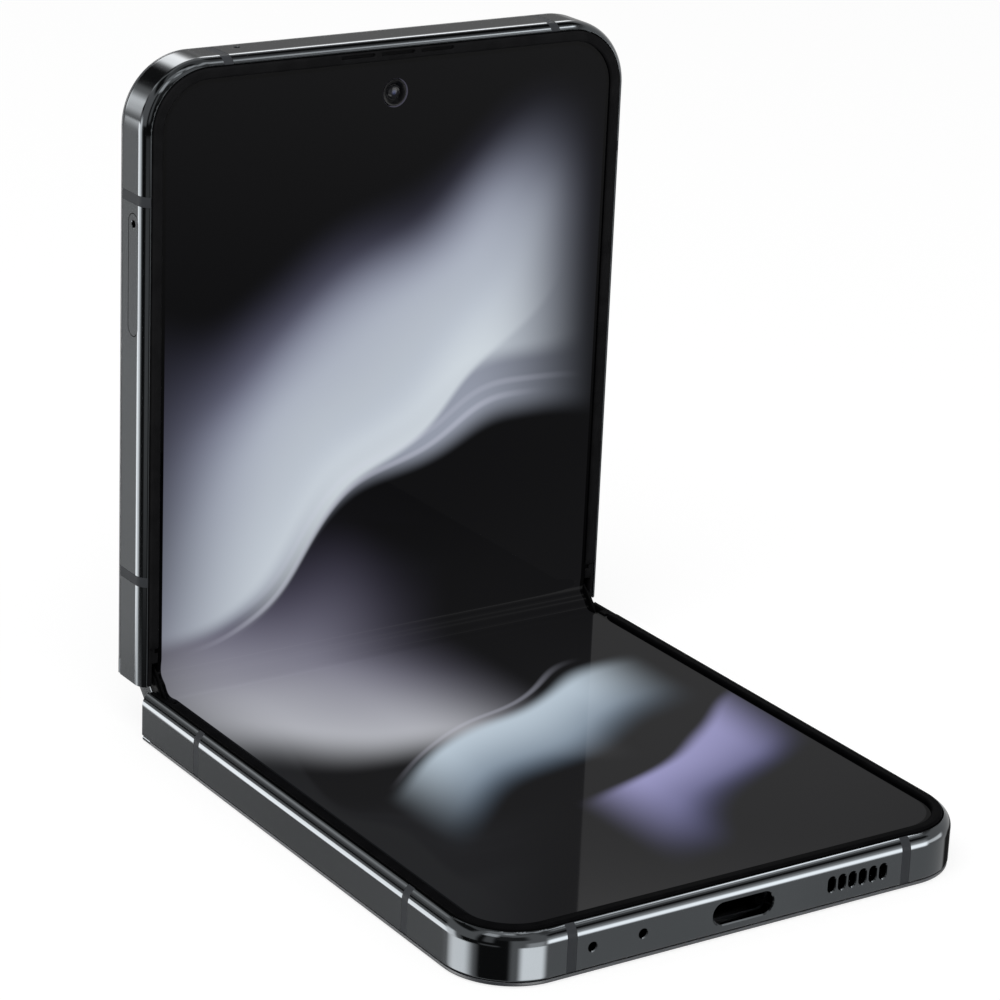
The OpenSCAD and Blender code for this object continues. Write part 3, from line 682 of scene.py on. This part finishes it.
# ---------- materials of the CAD nodes that stay ----------
KEPT = (
    (hinge_steel_shaded, ("base_hinge_bracket", "lid_hinge_bracket", "hinge_blocks", "hinge_centre_strip",
             "base_sync_arms", "lid_sync_arms")),
    (pin_steel, ("base_idler_gears", "lid_idler_gears", "hinge_pins")),
    (screw_steel, ("base_screws", "lid_screws")),
    (foil, ("base_battery", "lid_battery")),
    (coil_copper, ("charging_coil",)),
    (board_green, ("sub_board", "main_board")),
    (black_plastic, ("usb_tongue", "loudspeaker", "rear_camera_modules", "earpiece_speaker")),
    (connector_steel, ("base_microphones", "lid_microphone", "vibration_motor", "sim_socket")),
    (camera_black, ("cover_display",)),
    (flash_amber, ("flash_led",)),
)
for material, names in KEPT:
    for name in names:
        cad[name].data.materials.clear()
        cad[name].data.materials.append(material)


# ---------- frames ----------
def box(x0, x1, y0, y1, z0, z1, bevel=0.05):
    corners = [(x0, y0), (x1, y0), (x1, y1), (x0, y1)]
    return prism(corners, on_top(z1), 0.0, z1 - z0, bevel)


def frame_mesh(placing, cutters, deck_cutters):
    """Wall between the antenna breaks, deck under the display and bar under the hinge."""
    total, spans = length_of(END_GAP), break_spans(END_GAP)
    edges = [0.0] + [s for span in spans for s in span] + [total]
    profile = wall_profile()
    walls = [sweep(profile, edges[i], edges[i + 1], END_GAP) for i in range(0, len(edges), 2)]
    me = cut(mesh_of("walls", merged(*walls), placing), cutters, placing)
    inset = WALL + 0.02
    deck = mesh_of("deck", slab([(inset, UNDER_DECK, 0), (inset, DECK_Z, 0)], 13.0), placing)
    if deck_cutters:
        deck = cut(deck, deck_cutters, placing)
    side = W / 2 - WALL
    bars = [box(-side - 0.3, side + 0.3, -END_GAP - 2.0, -END_GAP, 0.05, 0.5)]
    for middle in (-side - 0.79, side + 0.79):
        bars.append(box(middle - 0.72, middle + 0.72, -END_GAP - 2.04, -END_GAP, 0.0, 0.64, 0.2))
    return joined(me, deck, mesh_of("bars", merged(*bars), placing))


def breaks_mesh(placing):
    """Inserts with the wall's own section, a hair under the metal's face."""
    profile = [(e + BREAK_SUNK if e < LIP_E else e, z) for e, z in wall_profile()]
    strips = [sweep(profile, a + BREAK_PLAY, b - BREAK_PLAY, END_GAP) for a, b in break_spans(END_GAP)]
    return mesh_of("breaks", merged(*strips), placing)


def in_port(p, a):
    return (p[0], -HALF + WALL + a, p[1])


base_cutters = [flared(stadium(0.0, PORT_Z, PORT_W, PORT_H, 20), at_end, 0.13, 3.0, 1.15)]
for i in range(SLOTS):
    slot = stadium(SLOT_X + SLOT_PITCH * i, PORT_Z + 0.1, SLOT_W, SLOT_H)
    base_cutters.append(flared(slot, at_end, 0.1, 3.0, 1.38))
for x in MICS_X:
    base_cutters.append(flared(stadium(x, PORT_Z + 0.2, MIC_D, MIC_D), at_end, 0.1, 3.0, 1.38))
piece("base_frame_shell", frame_mesh(ON_BASE, base_cutters, []), frame_metal, "base", ["base_frame"],
      9)
piece("base_break_inserts", breaks_mesh(ON_BASE), break_plastic, "base", ["base_antenna_breaks"])

shell = mesh_of("shell", prism(stadium(0.0, PORT_Z, 8.94, 3.16, 20), in_port, 0.0, 7.3, 0.0), ON_BASE)
shell = cut(shell, [prism(stadium(0.0, PORT_Z, 8.34, 2.56, 20), in_port, -0.1, 6.6, 0.0)], ON_BASE)
piece("port_shell", shell, connector_steel, "base", ["usb_receptacle"])

tray_slit = [(TRAY_Y + y, TRAY_Z + z) for y, z in ((-7.6, -0.45), (7.6, -0.45), (7.6, 0.45), (-7.6, 0.45))]
lid_cutters = [
    flared(stadium(VOLUME_Y, KEY_Z, VOLUME_L + 0.2, KEY_H + 0.2), at_right, 0.1, 3.0),
    flared(stadium(SIDE_KEY_Y, KEY_Z, SIDE_KEY_L + 0.2, KEY_H + 0.2), at_right, 0.1, 3.0),
    flared(stadium(TRAY_Y, TRAY_Z, TRAY_L + 0.2, TRAY_H + 0.2), at_left, 0.02, 1.15),
    prism(tray_slit, at_left, 1.0, 3.0, 0.0),
    flared(stadium(TOP_MIC_X, TOP_MIC_Z, TOP_MIC_D, TOP_MIC_D), at_end, 0.08, 3.0, 1.38),
]
selfie_deck = prism(stadium(0.0, SELFIE_Y, 3.94, 3.94), on_top(6.2), 0.0, 2.0, 0.0)
piece("lid_frame_shell", frame_mesh(ON_LID, lid_cutters, [selfie_deck]), frame_metal, "lid", ["lid_frame"],
      9)
piece("lid_break_inserts", breaks_mesh(ON_LID), break_plastic, "lid", ["lid_antenna_breaks"])


# ---------- glass backs ----------
def glass_mesh(placing, holes):
    """Back glass with a round lower edge, and its seat in the wall above it."""
    inset, round_r, steps = 0.09, 0.22, 7
    levels = []
    for k in range(steps + 1):
        t = math.pi / 2 * k / steps
        d = round_r * (1 - math.sin(t))
        levels.append((inset + d, round_r * (1 - math.cos(t)), d))
    levels += [(inset, 0.48, 0.0), (0.13, 0.52, 0.0), (GLASS_INSET, 0.53, 0.0), (GLASS_INSET, GLASS_T, 0.0)]
    points, faces = slab(levels, 2.45)
    me = mesh_of("glass", (points, faces), placing, [p[:2] for p in points])
    return cut(me, holes, placing) if holes else me


def from_below(p, a):
    return (p[0], p[1], a)


piece("base_back_glass", glass_mesh(ON_BASE, []), base_glass, "base", ["base_glass_back"], 35)
holes = [flared(stadium(x, CAMERA_Y, 11.3, 11.3, 20), from_below, 0.02, 1.0) for x in CAMERAS_X]
holes.append(flared(stadium(*FLASH, 4.1, 4.1), from_below, 0.04, 1.0))
piece("lid_back_glass", glass_mesh(ON_LID, holes), lid_glass, "lid", ["lid_glass_back"], 35)

# ---------- display rims ----------
# Where the rim starts, the length over which its end rounds down, and the heights of its underside and tails
RIM_NEAR, RIM_END = BEND_L + 0.6, 1.0
RIM_LOW, TAIL_Z = DISPLAY_Z + 0.02, 6.6


def rim_shape():
    e0, e1 = EDGE_W + RIM_GAP, PANEL_INSET - 0.03
    profile = rounded([(e0 - 0.13, DECK_Z, 0), (e0 - 0.13, 6.3, 0), (e0, 6.36, 0), (e0, THICK, 0.26),
                       (RIM_REACH, THICK, 0.3), (RIM_REACH, RIM_LOW, 0.04), (e1, RIM_LOW, 0),
                       (e1, DECK_Z, 0)], 6)
    total = length_of(RIM_NEAR)

    def lowered(points, s):
        d = min(s, total - s)
        if d >= RIM_END:
            return points
        k = 0.25 + 0.75 * math.sqrt(max(0.0, 1 - (1 - d / RIM_END) ** 2))
        return [(e, RIM_LOW + (z - RIM_LOW) * k if z > RIM_LOW else z) for e, z in points]

    marks = [RIM_END * (1 - math.cos(math.pi / 2 * k / 8)) for k in range(9)]
    parts = [sweep(profile, 0.0, total, RIM_NEAR, lowered, marks + [total - s for s in marks])]
    # Beside the bend: a thin strip by the wall, a corner block, and the joint of both with the rim
    inner = W / 2 - WALL
    strip = rounded([(-RIM_NEAR + 0.02, DECK_Z, 0), (-END_GAP, DECK_Z, 0), (-END_GAP, TAIL_Z, 0.3),
                     (-RIM_NEAR + 0.02, TAIL_Z, 0)], 5)
    block = rounded([(-BEND_L + 0.03, DECK_Z, 0), (-3.4, DECK_Z, 0), (-3.4, 6.22, 0.12),
                     (-3.62, TAIL_Z, 0.2), (-BEND_L + 0.03, TAIL_Z, 0)], 5)
    joint = [(-RIM_NEAR - 0.02, DECK_Z), (-BEND_L + 0.05, DECK_Z), (-BEND_L + 0.05, TAIL_Z),
             (-RIM_NEAR - 0.02, TAIL_Z)]
    for s in (-1, 1):
        parts.append(prism(strip, to_side(s), inner + 0.02, inner + 0.45, 0.06))
        parts.append(prism(block, to_side(s), 33.5, inner, 0.05))
        parts.append(prism(joint, to_side(s), 33.98, inner, 0.03))
    return merged(*parts)


# The base's rim uses the copy painted darker and the lid's rim the copy painted lighter
piece("base_rim", mesh_of("rim", rim_shape(), ON_BASE), rim_plastic, "base", ["base_display_rim"],
      35)
ear = [flared(stadium(x, -HALF + 1.55, 4.9, 0.5), on_top(THICK), 0.06, 0.35) for x in (-5.9, 0.0, 5.9)]
piece("lid_rim", cut(mesh_of("rim", rim_shape(), ON_LID), ear, ON_LID), lid_rim_plastic_painted_lighter, "lid",
      ["lid_display_rim"], 35)


# ---------- display ----------
def panel_mesh(placing, sign, holes):
    """Flat part of the display. Its UV runs on over the fold: up the lid for sign 1, down the base for -1."""
    levels = [(PANEL_INSET, DECK_Z, 0), (PANEL_INSET, DISPLAY_Z - 0.05, 0),
              (PANEL_INSET + 0.05, DISPLAY_Z, 0)]
    points, faces = slab(levels, BEND_L)
    me = mesh_of("panel", (points, faces), placing, [(p[0], sign * -p[1]) for p in points])
    return cut(me, holes, placing) if holes else me


piece("display_panel_base", panel_mesh(ON_BASE, -1, []), display_material, "base", ["display_base"])
hole = flared(stadium(0.0, SELFIE_Y, 3.74, 3.74, 18), on_top(DISPLAY_Z), 0.02, 1.0)
piece("display_panel_lid", panel_mesh(ON_LID, 1, [hole]), display_material, "lid", ["display_lid"])

# The bend is two strips, one for each hinge axis. A strip's rest shape is its flat shape turned about the
# axis by a smooth weight.
BEND_START, BEND_STEPS = -1.45, 44
# The strips' underside clears the timing arms when the phone is closed
BEND_LOW = DECK_Z + 0.08


def bent(y, z):
    """Rest place of a point of the flat strip, in the half's own plane."""
    a = math.radians(FOLD)
    rel = np.array((y + AXIS_Y, z - AXIS_Z))
    along = np.array((math.cos(a), math.sin(a)))
    w = 0.5
    for _ in range(80):
        t = a * w
        c, s = math.cos(t), math.sin(t)
        p = np.array((rel[0] * c - rel[1] * s, rel[0] * s + rel[1] * c))
        x = min(1.0, max(0.0, (float(p @ along) - BEND_START) / (AXIS_Y - BEND_START)))
        w = 0.5 * w + 0.5 * x * x * (3 - 2 * x)
    return p[0] - AXIS_Y, p[1] + AXIS_Z


def bend_piece(name, placing, sign):
    near = BEND_L - 0.6
    steps = [-BEND_L] + [-BEND_L + 0.6 + near * k / BEND_STEPS for k in range(BEND_STEPS + 1)]
    rings, uv = [], []
    for y in steps:
        ring = []
        for x, z in ((-BEND_W, DISPLAY_Z), (BEND_W, DISPLAY_Z), (BEND_W, BEND_LOW), (-BEND_W, BEND_LOW)):
            ring.append((x, *bent(y, z)))
            uv.append((x, sign * -y))
        rings.append(ring)
    me = mesh_of(name, loft(rings), placing, uv)
    o = piece(name, me, display_material, None, ["display_bend"], 40)
    a = math.radians(FOLD)
    ends = [(0.0, -AXIS_Y + k * math.cos(a), AXIS_Z + k * math.sin(a)) for k in (BEND_START, AXIS_Y)]
    start, end = placed(ends, placing)
    if sign > 0:
        start, end = end, start
    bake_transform(o)


bend_piece("display_bend_base", ON_BASE, -1)
bend_piece("display_bend_lid", ON_LID, 1)


# ---------- spine ----------
def spine_outline(r, z0, top):
    """Section of the cover: arcs of radius r about both hinge axes, from height top down to z0."""
    y_top = AXIS_Y + math.sqrt(r * r - (top - AXIS_Z) ** 2)
    y_low = AXIS_Y + math.sqrt(r * r - (z0 - AXIS_Z) ** 2)
    a0, a1 = math.atan2(top - AXIS_Z, y_top - AXIS_Y), math.atan2(z0 - AXIS_Z, y_low - AXIS_Y)
    turns = [a0 + (a1 - a0) * k / 18 for k in range(19)]
    right = [(AXIS_Y + r * math.cos(t), AXIS_Z + r * math.sin(t)) for t in turns]
    return right + [(-y, z) for y, z in reversed(right)]


cover = prism(spine_outline(SPINE_R, SPINE_Z, SPINE_TOP), across, -SPINE_END, SPINE_END, 0.15)
cavity = prism(spine_outline(SPINE_R - SPINE_T, SPINE_Z + SPINE_T, UNDER_DECK + 0.6), across,
               -SPINE_END + SPINE_T, SPINE_END - SPINE_T, 0.0)
piece("spine_cover", cut(mesh_of("cover", cover, ON_SPINE), [cavity], ON_SPINE), spine_metal, "spine",
      ["hinge_spine_cover"], 24)

# The guard at each end of the bend: an inner leaf and a lower outer leaf
inner = rounded([(-3.1, SPINE_TOP, 0), (3.1, SPINE_TOP, 0), (3.28, 5.9, 0.4), (2.95, 6.5, 0.3),
                 (2.2, 6.75, 0.4), (-2.2, 6.75, 0.4), (-2.95, 6.5, 0.3), (-3.28, 5.9, 0.4)], 5)
outer = rounded([(-3.1, SPINE_TOP, 0), (3.1, SPINE_TOP, 0), (3.24, 5.8, 0.3), (2.0, 6.2, 0.3),
                 (1.0, 6.5, 0.3), (-1.0, 6.5, 0.3), (-2.0, 6.2, 0.3), (-3.24, 5.8, 0.3)], 5)
guards = []
for s in (-1, 1):
    guards.append(prism(inner, to_side(s), 33.48, 33.8, 0.06))
    guards.append(prism(outer, to_side(s), 33.82, SPINE_END, 0.06))
piece("hinge_guards", mesh_of("guards", merged(*guards), ON_SPINE), guard_plastic, "spine",
      ["hinge_end_guards"], 35)

# ---------- cameras ----------
LENS_STEPS = 96
ring_section = rounded([(4.8, -1.2, 0.12), (6.2, -1.2, 0.26), (6.2, 0.0, 0.0), (5.6, 0.0, 0.0),
                        (5.6, 0.6, 0.0), (4.8, 0.6, 0.0)], 6)
rings = [lathe(ring_section, x, CAMERA_Y, LENS_STEPS) for x in CAMERAS_X]
piece("lens_rings", mesh_of("rings", merged(*rings), ON_LID), frame_metal, "lid", ["rear_camera_rings"])
lens_profile = [(0.0, -0.85), (4.5, -0.85), (4.62, -0.83), (4.72, -0.75), (4.75, -0.66), (4.75, 0.55),
                (0.0, 0.55)]
lenses = [turned(lens_profile, x, CAMERA_Y, LENS_STEPS) for x in CAMERAS_X]
lens_uv = [(p[0] - x, p[1] - CAMERA_Y) for x, (points, _) in zip(CAMERAS_X, lenses) for p in points]
piece("lens_covers", mesh_of("lenses", merged(*lenses), ON_LID, lens_uv), rear_lens, "lid",
      ["rear_camera_lenses"], 50)

barrel = [(0.0, 5.92), (0.98, 5.92), (1.02, 5.98), (1.45, 6.24), (1.6, 6.3), (1.7, 6.3), (1.77, 6.24),
          (1.77, 4.6), (0.0, 4.6)]
module_box = box(-3.0, 3.0, SELFIE_Y - 3.0, SELFIE_Y + 3.0, 1.5, 4.7)
front_camera = merged(turned(barrel, 0.0, SELFIE_Y), module_box)
piece("front_camera_barrel", mesh_of("barrel", front_camera, ON_LID), camera_black, "lid",
      ["front_camera"], 35)
dome = [(0.96 * math.sin(k * 0.2), 5.9 + 0.22 * math.cos(k * 0.2)) for k in range(1, 8)]
points, faces = turned([(0.0, 6.12), *dome, (0.0, 5.9)], 0.0, SELFIE_Y, 48)
dome_uv = [(p[0], p[1] - SELFIE_Y) for p in points]
piece("front_camera_lens", mesh_of("dome", (points, faces), ON_LID, dome_uv), front_lens, "lid", [],
      60)

# ---------- tray and keys ----------
face = mesh_of("face", prism(stadium(TRAY_Y, TRAY_Z, TRAY_L, TRAY_H), at_left, 0.0, 1.1, 0.025, 0.0), ON_LID)
face = cut(face, [flared(stadium(TRAY_Y - 6.6, TRAY_Z, 1.0, 1.0), at_left, 0.1, 3.0, 0.4)], ON_LID)
left = -W / 2
plate = box(left + 1.06, left + 13.65, TRAY_Y - 7.5, TRAY_Y + 7.5, TRAY_Z - 0.35, TRAY_Z + 0.35)
pocket = [(left + x, TRAY_Y + y, 0.8) for x, y in ((2.6, -6.2), (11.6, -6.2), (11.6, 6.2), (2.6, 6.2))]
pocket = prism(rounded(pocket), on_top(TRAY_Z + 0.6), 0.0, 0.7, 0.0)
plate = cut(mesh_of("plate", plate, ON_LID), [pocket], ON_LID)
piece("card_tray", joined(face, plate), frame_metal, "sim_tray", ["sim_tray"], 9)


def button(y, length, proud):
    """Cap that stands proud of the wall, and the flange behind the wall that holds it in."""
    flange = WALL + 0.55
    y0, y1, z0, z1 = y - length / 2 - 0.4, y + length / 2 + 0.4, 2.05, 4.75
    cap = prism(stadium(y, KEY_Z, length, KEY_H), at_right, -proud, WALL + 0.3, 0.24, 0.0, 6)
    back = prism([(y0, z0), (y1, z0), (y1, z1), (y0, z1)], at_right, flange - 0.45, flange, 0.05)
    return mesh_of("key", merged(cap, back), ON_LID)


piece("volume_keys", button(VOLUME_Y, VOLUME_L, 0.45), key_metal, "volume_rocker", ["volume_rocker"])
piece("side_button", button(SIDE_KEY_Y, SIDE_KEY_L, 0.35), key_metal, "side_key", ["side_key"])


# ---------- floor, light and world ----------
def either(tree, path, one, other):
    """1 for a ray of one of two kinds, and 0 for any other."""
    return (Num(tree, path.outputs[one]) + Num(tree, path.outputs[other])).op("MINIMUM", 1.0)


def floor():
    """Pale floor that keeps the shadow, and that mirrors and glass see through."""
    half, z = 3.0, -0.0002
    corners = [(-half, -half, z), (half, -half, z), (half, half, z), (-half, half, z)]
    me = bpy.data.meshes.new("floor")
    me.from_pydata(corners, [], [(0, 1, 2, 3)])
    o = thing("floor", me)
    m = bpy.data.materials.new("floor")
    m.use_nodes = True
    tree = m.node_tree
    tree.nodes.clear()
    path = tree.nodes.new("ShaderNodeLightPath")
    camera = Num(tree, path.outputs["Is Camera Ray"])
    clear = either(tree, path, "Is Glossy Ray", "Is Transmission Ray")
    where = node(tree, "ShaderNodeTexCoord").outputs["Object"]
    tone = noise(tree, where, 3.0, 2.0)
    diffuse = tree.nodes.new("ShaderNodeBsdfDiffuse")
    shade = mix(tree, camera, (0.8, 0.8, 0.8, 1.0), (0.24, 0.24, 0.24, 1.0))
    tree.links.new(mix(tree, tone * 0.02, shade, (0.5, 0.5, 0.5, 1.0)), diffuse.inputs["Color"])
    glow = tree.nodes.new("ShaderNodeEmission")
    tree.links.new((camera * 0.82).socket, glow.inputs["Strength"])
    both = tree.nodes.new("ShaderNodeAddShader")
    tree.links.new(diffuse.outputs[0], both.inputs[0])
    tree.links.new(glow.outputs[0], both.inputs[1])
    through = tree.nodes.new("ShaderNodeBsdfTransparent")
    chosen = tree.nodes.new("ShaderNodeMixShader")
    tree.links.new(clear.socket, chosen.inputs[0])
    tree.links.new(both.outputs[0], chosen.inputs[1])
    tree.links.new(through.outputs[0], chosen.inputs[2])
    out = tree.nodes.new("ShaderNodeOutputMaterial")
    tree.links.new(chosen.outputs[0], out.inputs["Surface"])
    me.materials.append(m)


floor()

# Softboxes and flags round the object, seen in its metal and glass: middle azimuth, half width, lowest and
# highest elevation, softness across and up, all in degrees, and brightness, where 1 is the white background.
# A row lies over the rows before it.
STUDIO = (
    (0, 200, 60, 78, 1, 5, 0.55),
    (0, 200, 78, 95, 1, 4, 0.1),
    (-120, 60, 75, 84, 15, 3, 2.8),
    (-70, 22, 68, 78, 8, 3, 3.4),
    (-20, 45, 40, 62, 8, 4, 0.45),
    (-35, 22, 60, 69, 8, 3, 3.2),
    (-24, 10, 54, 60, 5, 2, 4.0),
    (26, 18, 43, 60, 6, 3, 0.04),
    (113.5, 10.5, -60, -22.8, 4, 1.3, 0.55),
    (158, 18, -32, -24.3, 10, 1.8, 7.8),
    (-146, 25, -60, 50, 5, 4, 0.05),
    (179, 14, -23, -2, 4, 2, 0.05),
    (-152, 14, -21, -14, 4, 2, 0.6),
    (-84, 13, -24, 4, 6, 5, 3.0),
    (-87, 19, -32, -22.5, 6, 2.5, 8.5),
    (22, 16, -30, -12, 5, 4, 0.04),
    (-30, 17, -8, 6.5, 4, 4, 6.0),
    (-56, 11, -15, 17, 4, 5, 2.7),
    (-56, 11, -15, 4.5, 4, 6, 13.0),
    (-48, 14, 26, 38, 4, 4, 0.05),
    (-34, 8, 44, 50.5, 5, 2, 2.4),
    (-19, 8, 50, 54.5, 4, 1.5, 12.0),
    (133, 12, -22.2, -4, 2, 1, 9.7),
    (145, 9, -25, 3, 5, 5, 6.8),
    (117, 4, 1, 15, 2, 4, 5.6),
    (128, 6.5, 6.5, 14.5, 2, 2.5, 0.04),
    (125, 7, 15, 21, 2.5, 2, 0.45),
    (98, 9, 33, 46, 3, 3, 0.09),
    (102, 11, 20.5, 33.5, 4, 3, 0.05),
    (116, 5, 26, 33.5, 3, 2.5, 2.4),
    (77, 8.5, 24, 33, 4, 3, 5.9),
    (54.5, 7, 17, 28, 3, 2, 1.6),
    (54.5, 7, 27, 35, 3, 2.5, 9.0),
    (58, 9, 4, 15.5, 4, 2, 0.33),
    (66, 5, 14, 21, 3, 2, 0.4),
    (54, 8, -8, 4, 4, 2, 0.5),
    (145, 28, 38, 58, 6, 4, 0.06),
    (-118, 25, 24, 48, 8, 4, 0.15),
    (-153, 7, 2, 40, 4, 4, 0.7),
    (-156, 13, 42, 60, 5, 3, 3.8),
    (-160, 25, 62, 74, 8, 4, 1.8),
    (-122, 14, 62, 71, 6, 3, 3.6),
)
# Strength of the world's light on surfaces, under the white that the camera sees
SKY = 0.6


def studio():
    world = bpy.data.worlds.new("studio")
    scene.world = world
    world.use_nodes = True
    world.cycles.sampling_method = "NONE"
    tree = world.node_tree
    tree.nodes.clear()
    split = tree.nodes.new("ShaderNodeSeparateXYZ")
    tree.links.new(node(tree, "ShaderNodeTexCoord").outputs["Generated"], split.inputs[0])
    x, y, z = (Num(tree, split.outputs[i]) for i in range(3))
    up = z.op("ARCSINE") * (180 / math.pi)
    seen = None
    for azimuth, half, low, high, soft, soft_up, strength in STUDIO:
        c, s = math.cos(math.radians(azimuth)), math.sin(math.radians(azimuth))
        mask = up.window(low, high, soft_up)
        if half < 180:
            turn = (y * c - x * s).op("ARCTAN2", x * c + y * s) * (180 / math.pi)
            mask = mask * turn.window(-half, half, soft)
        seen = 1.0 + mask * (strength - 1.0) if seen is None else seen + mask * (strength - seen)
    path = tree.nodes.new("ShaderNodeLightPath")
    glossy = Num(tree, path.outputs["Is Glossy Ray"])
    white = either(tree, path, "Is Camera Ray", "Is Transmission Ray")
    plain = white * (1 - SKY) + SKY
    total = plain + glossy * (seen - plain)
    back = tree.nodes.new("ShaderNodeBackground")
    tree.links.new(total.socket, back.inputs["Strength"])
    out = tree.nodes.new("ShaderNodeOutputWorld")
    tree.links.new(back.outputs[0], out.inputs["Surface"])


studio()
lamp = bpy.data.lights.new("key_light", "AREA")
lamp.shape, lamp.size, lamp.size_y, lamp.energy = "RECTANGLE", 0.9, 0.7, 6.0
key = bpy.data.objects.new("key_light", lamp)
scene.collection.objects.link(key)
key.location = (-0.45, -0.35, 0.95)
key.rotation_mode = "QUATERNION"
key.rotation_quaternion = (-key.location).to_track_quat("-Z", "Y")
key.visible_glossy = False
key.visible_camera = False

# ---------- camera at the photograph's place ----------
# Its axes in space, its place in metres, and its lens in mm
RIGHT = (0.83754, -0.54485, 0.04076)
DOWN = (-0.15303, -0.30554, -0.93980)
AHEAD = (0.52450, 0.78089, -0.33928)
EYE = (-0.23884, -0.34202, 0.18984)
FOCAL, SENSOR, SHIFT_X, SHIFT_Y = 130.3, 36.0, 0.00035, 0.00607
view = bpy.data.cameras.new("camera")
view.lens, view.sensor_width, view.shift_x, view.shift_y = FOCAL, SENSOR, SHIFT_X, SHIFT_Y
view.clip_start, view.clip_end = 0.01, 20.0
camera = bpy.data.objects.new("camera", view)
scene.collection.objects.link(camera)
place = Matrix.Identity(4)
for i in range(3):
    place[i][0], place[i][1], place[i][2], place[i][3] = RIGHT[i], -DOWN[i], -AHEAD[i], EYE[i]
camera.matrix_world = place
scene.camera = camera
scene.view_settings.view_transform = "Standard"
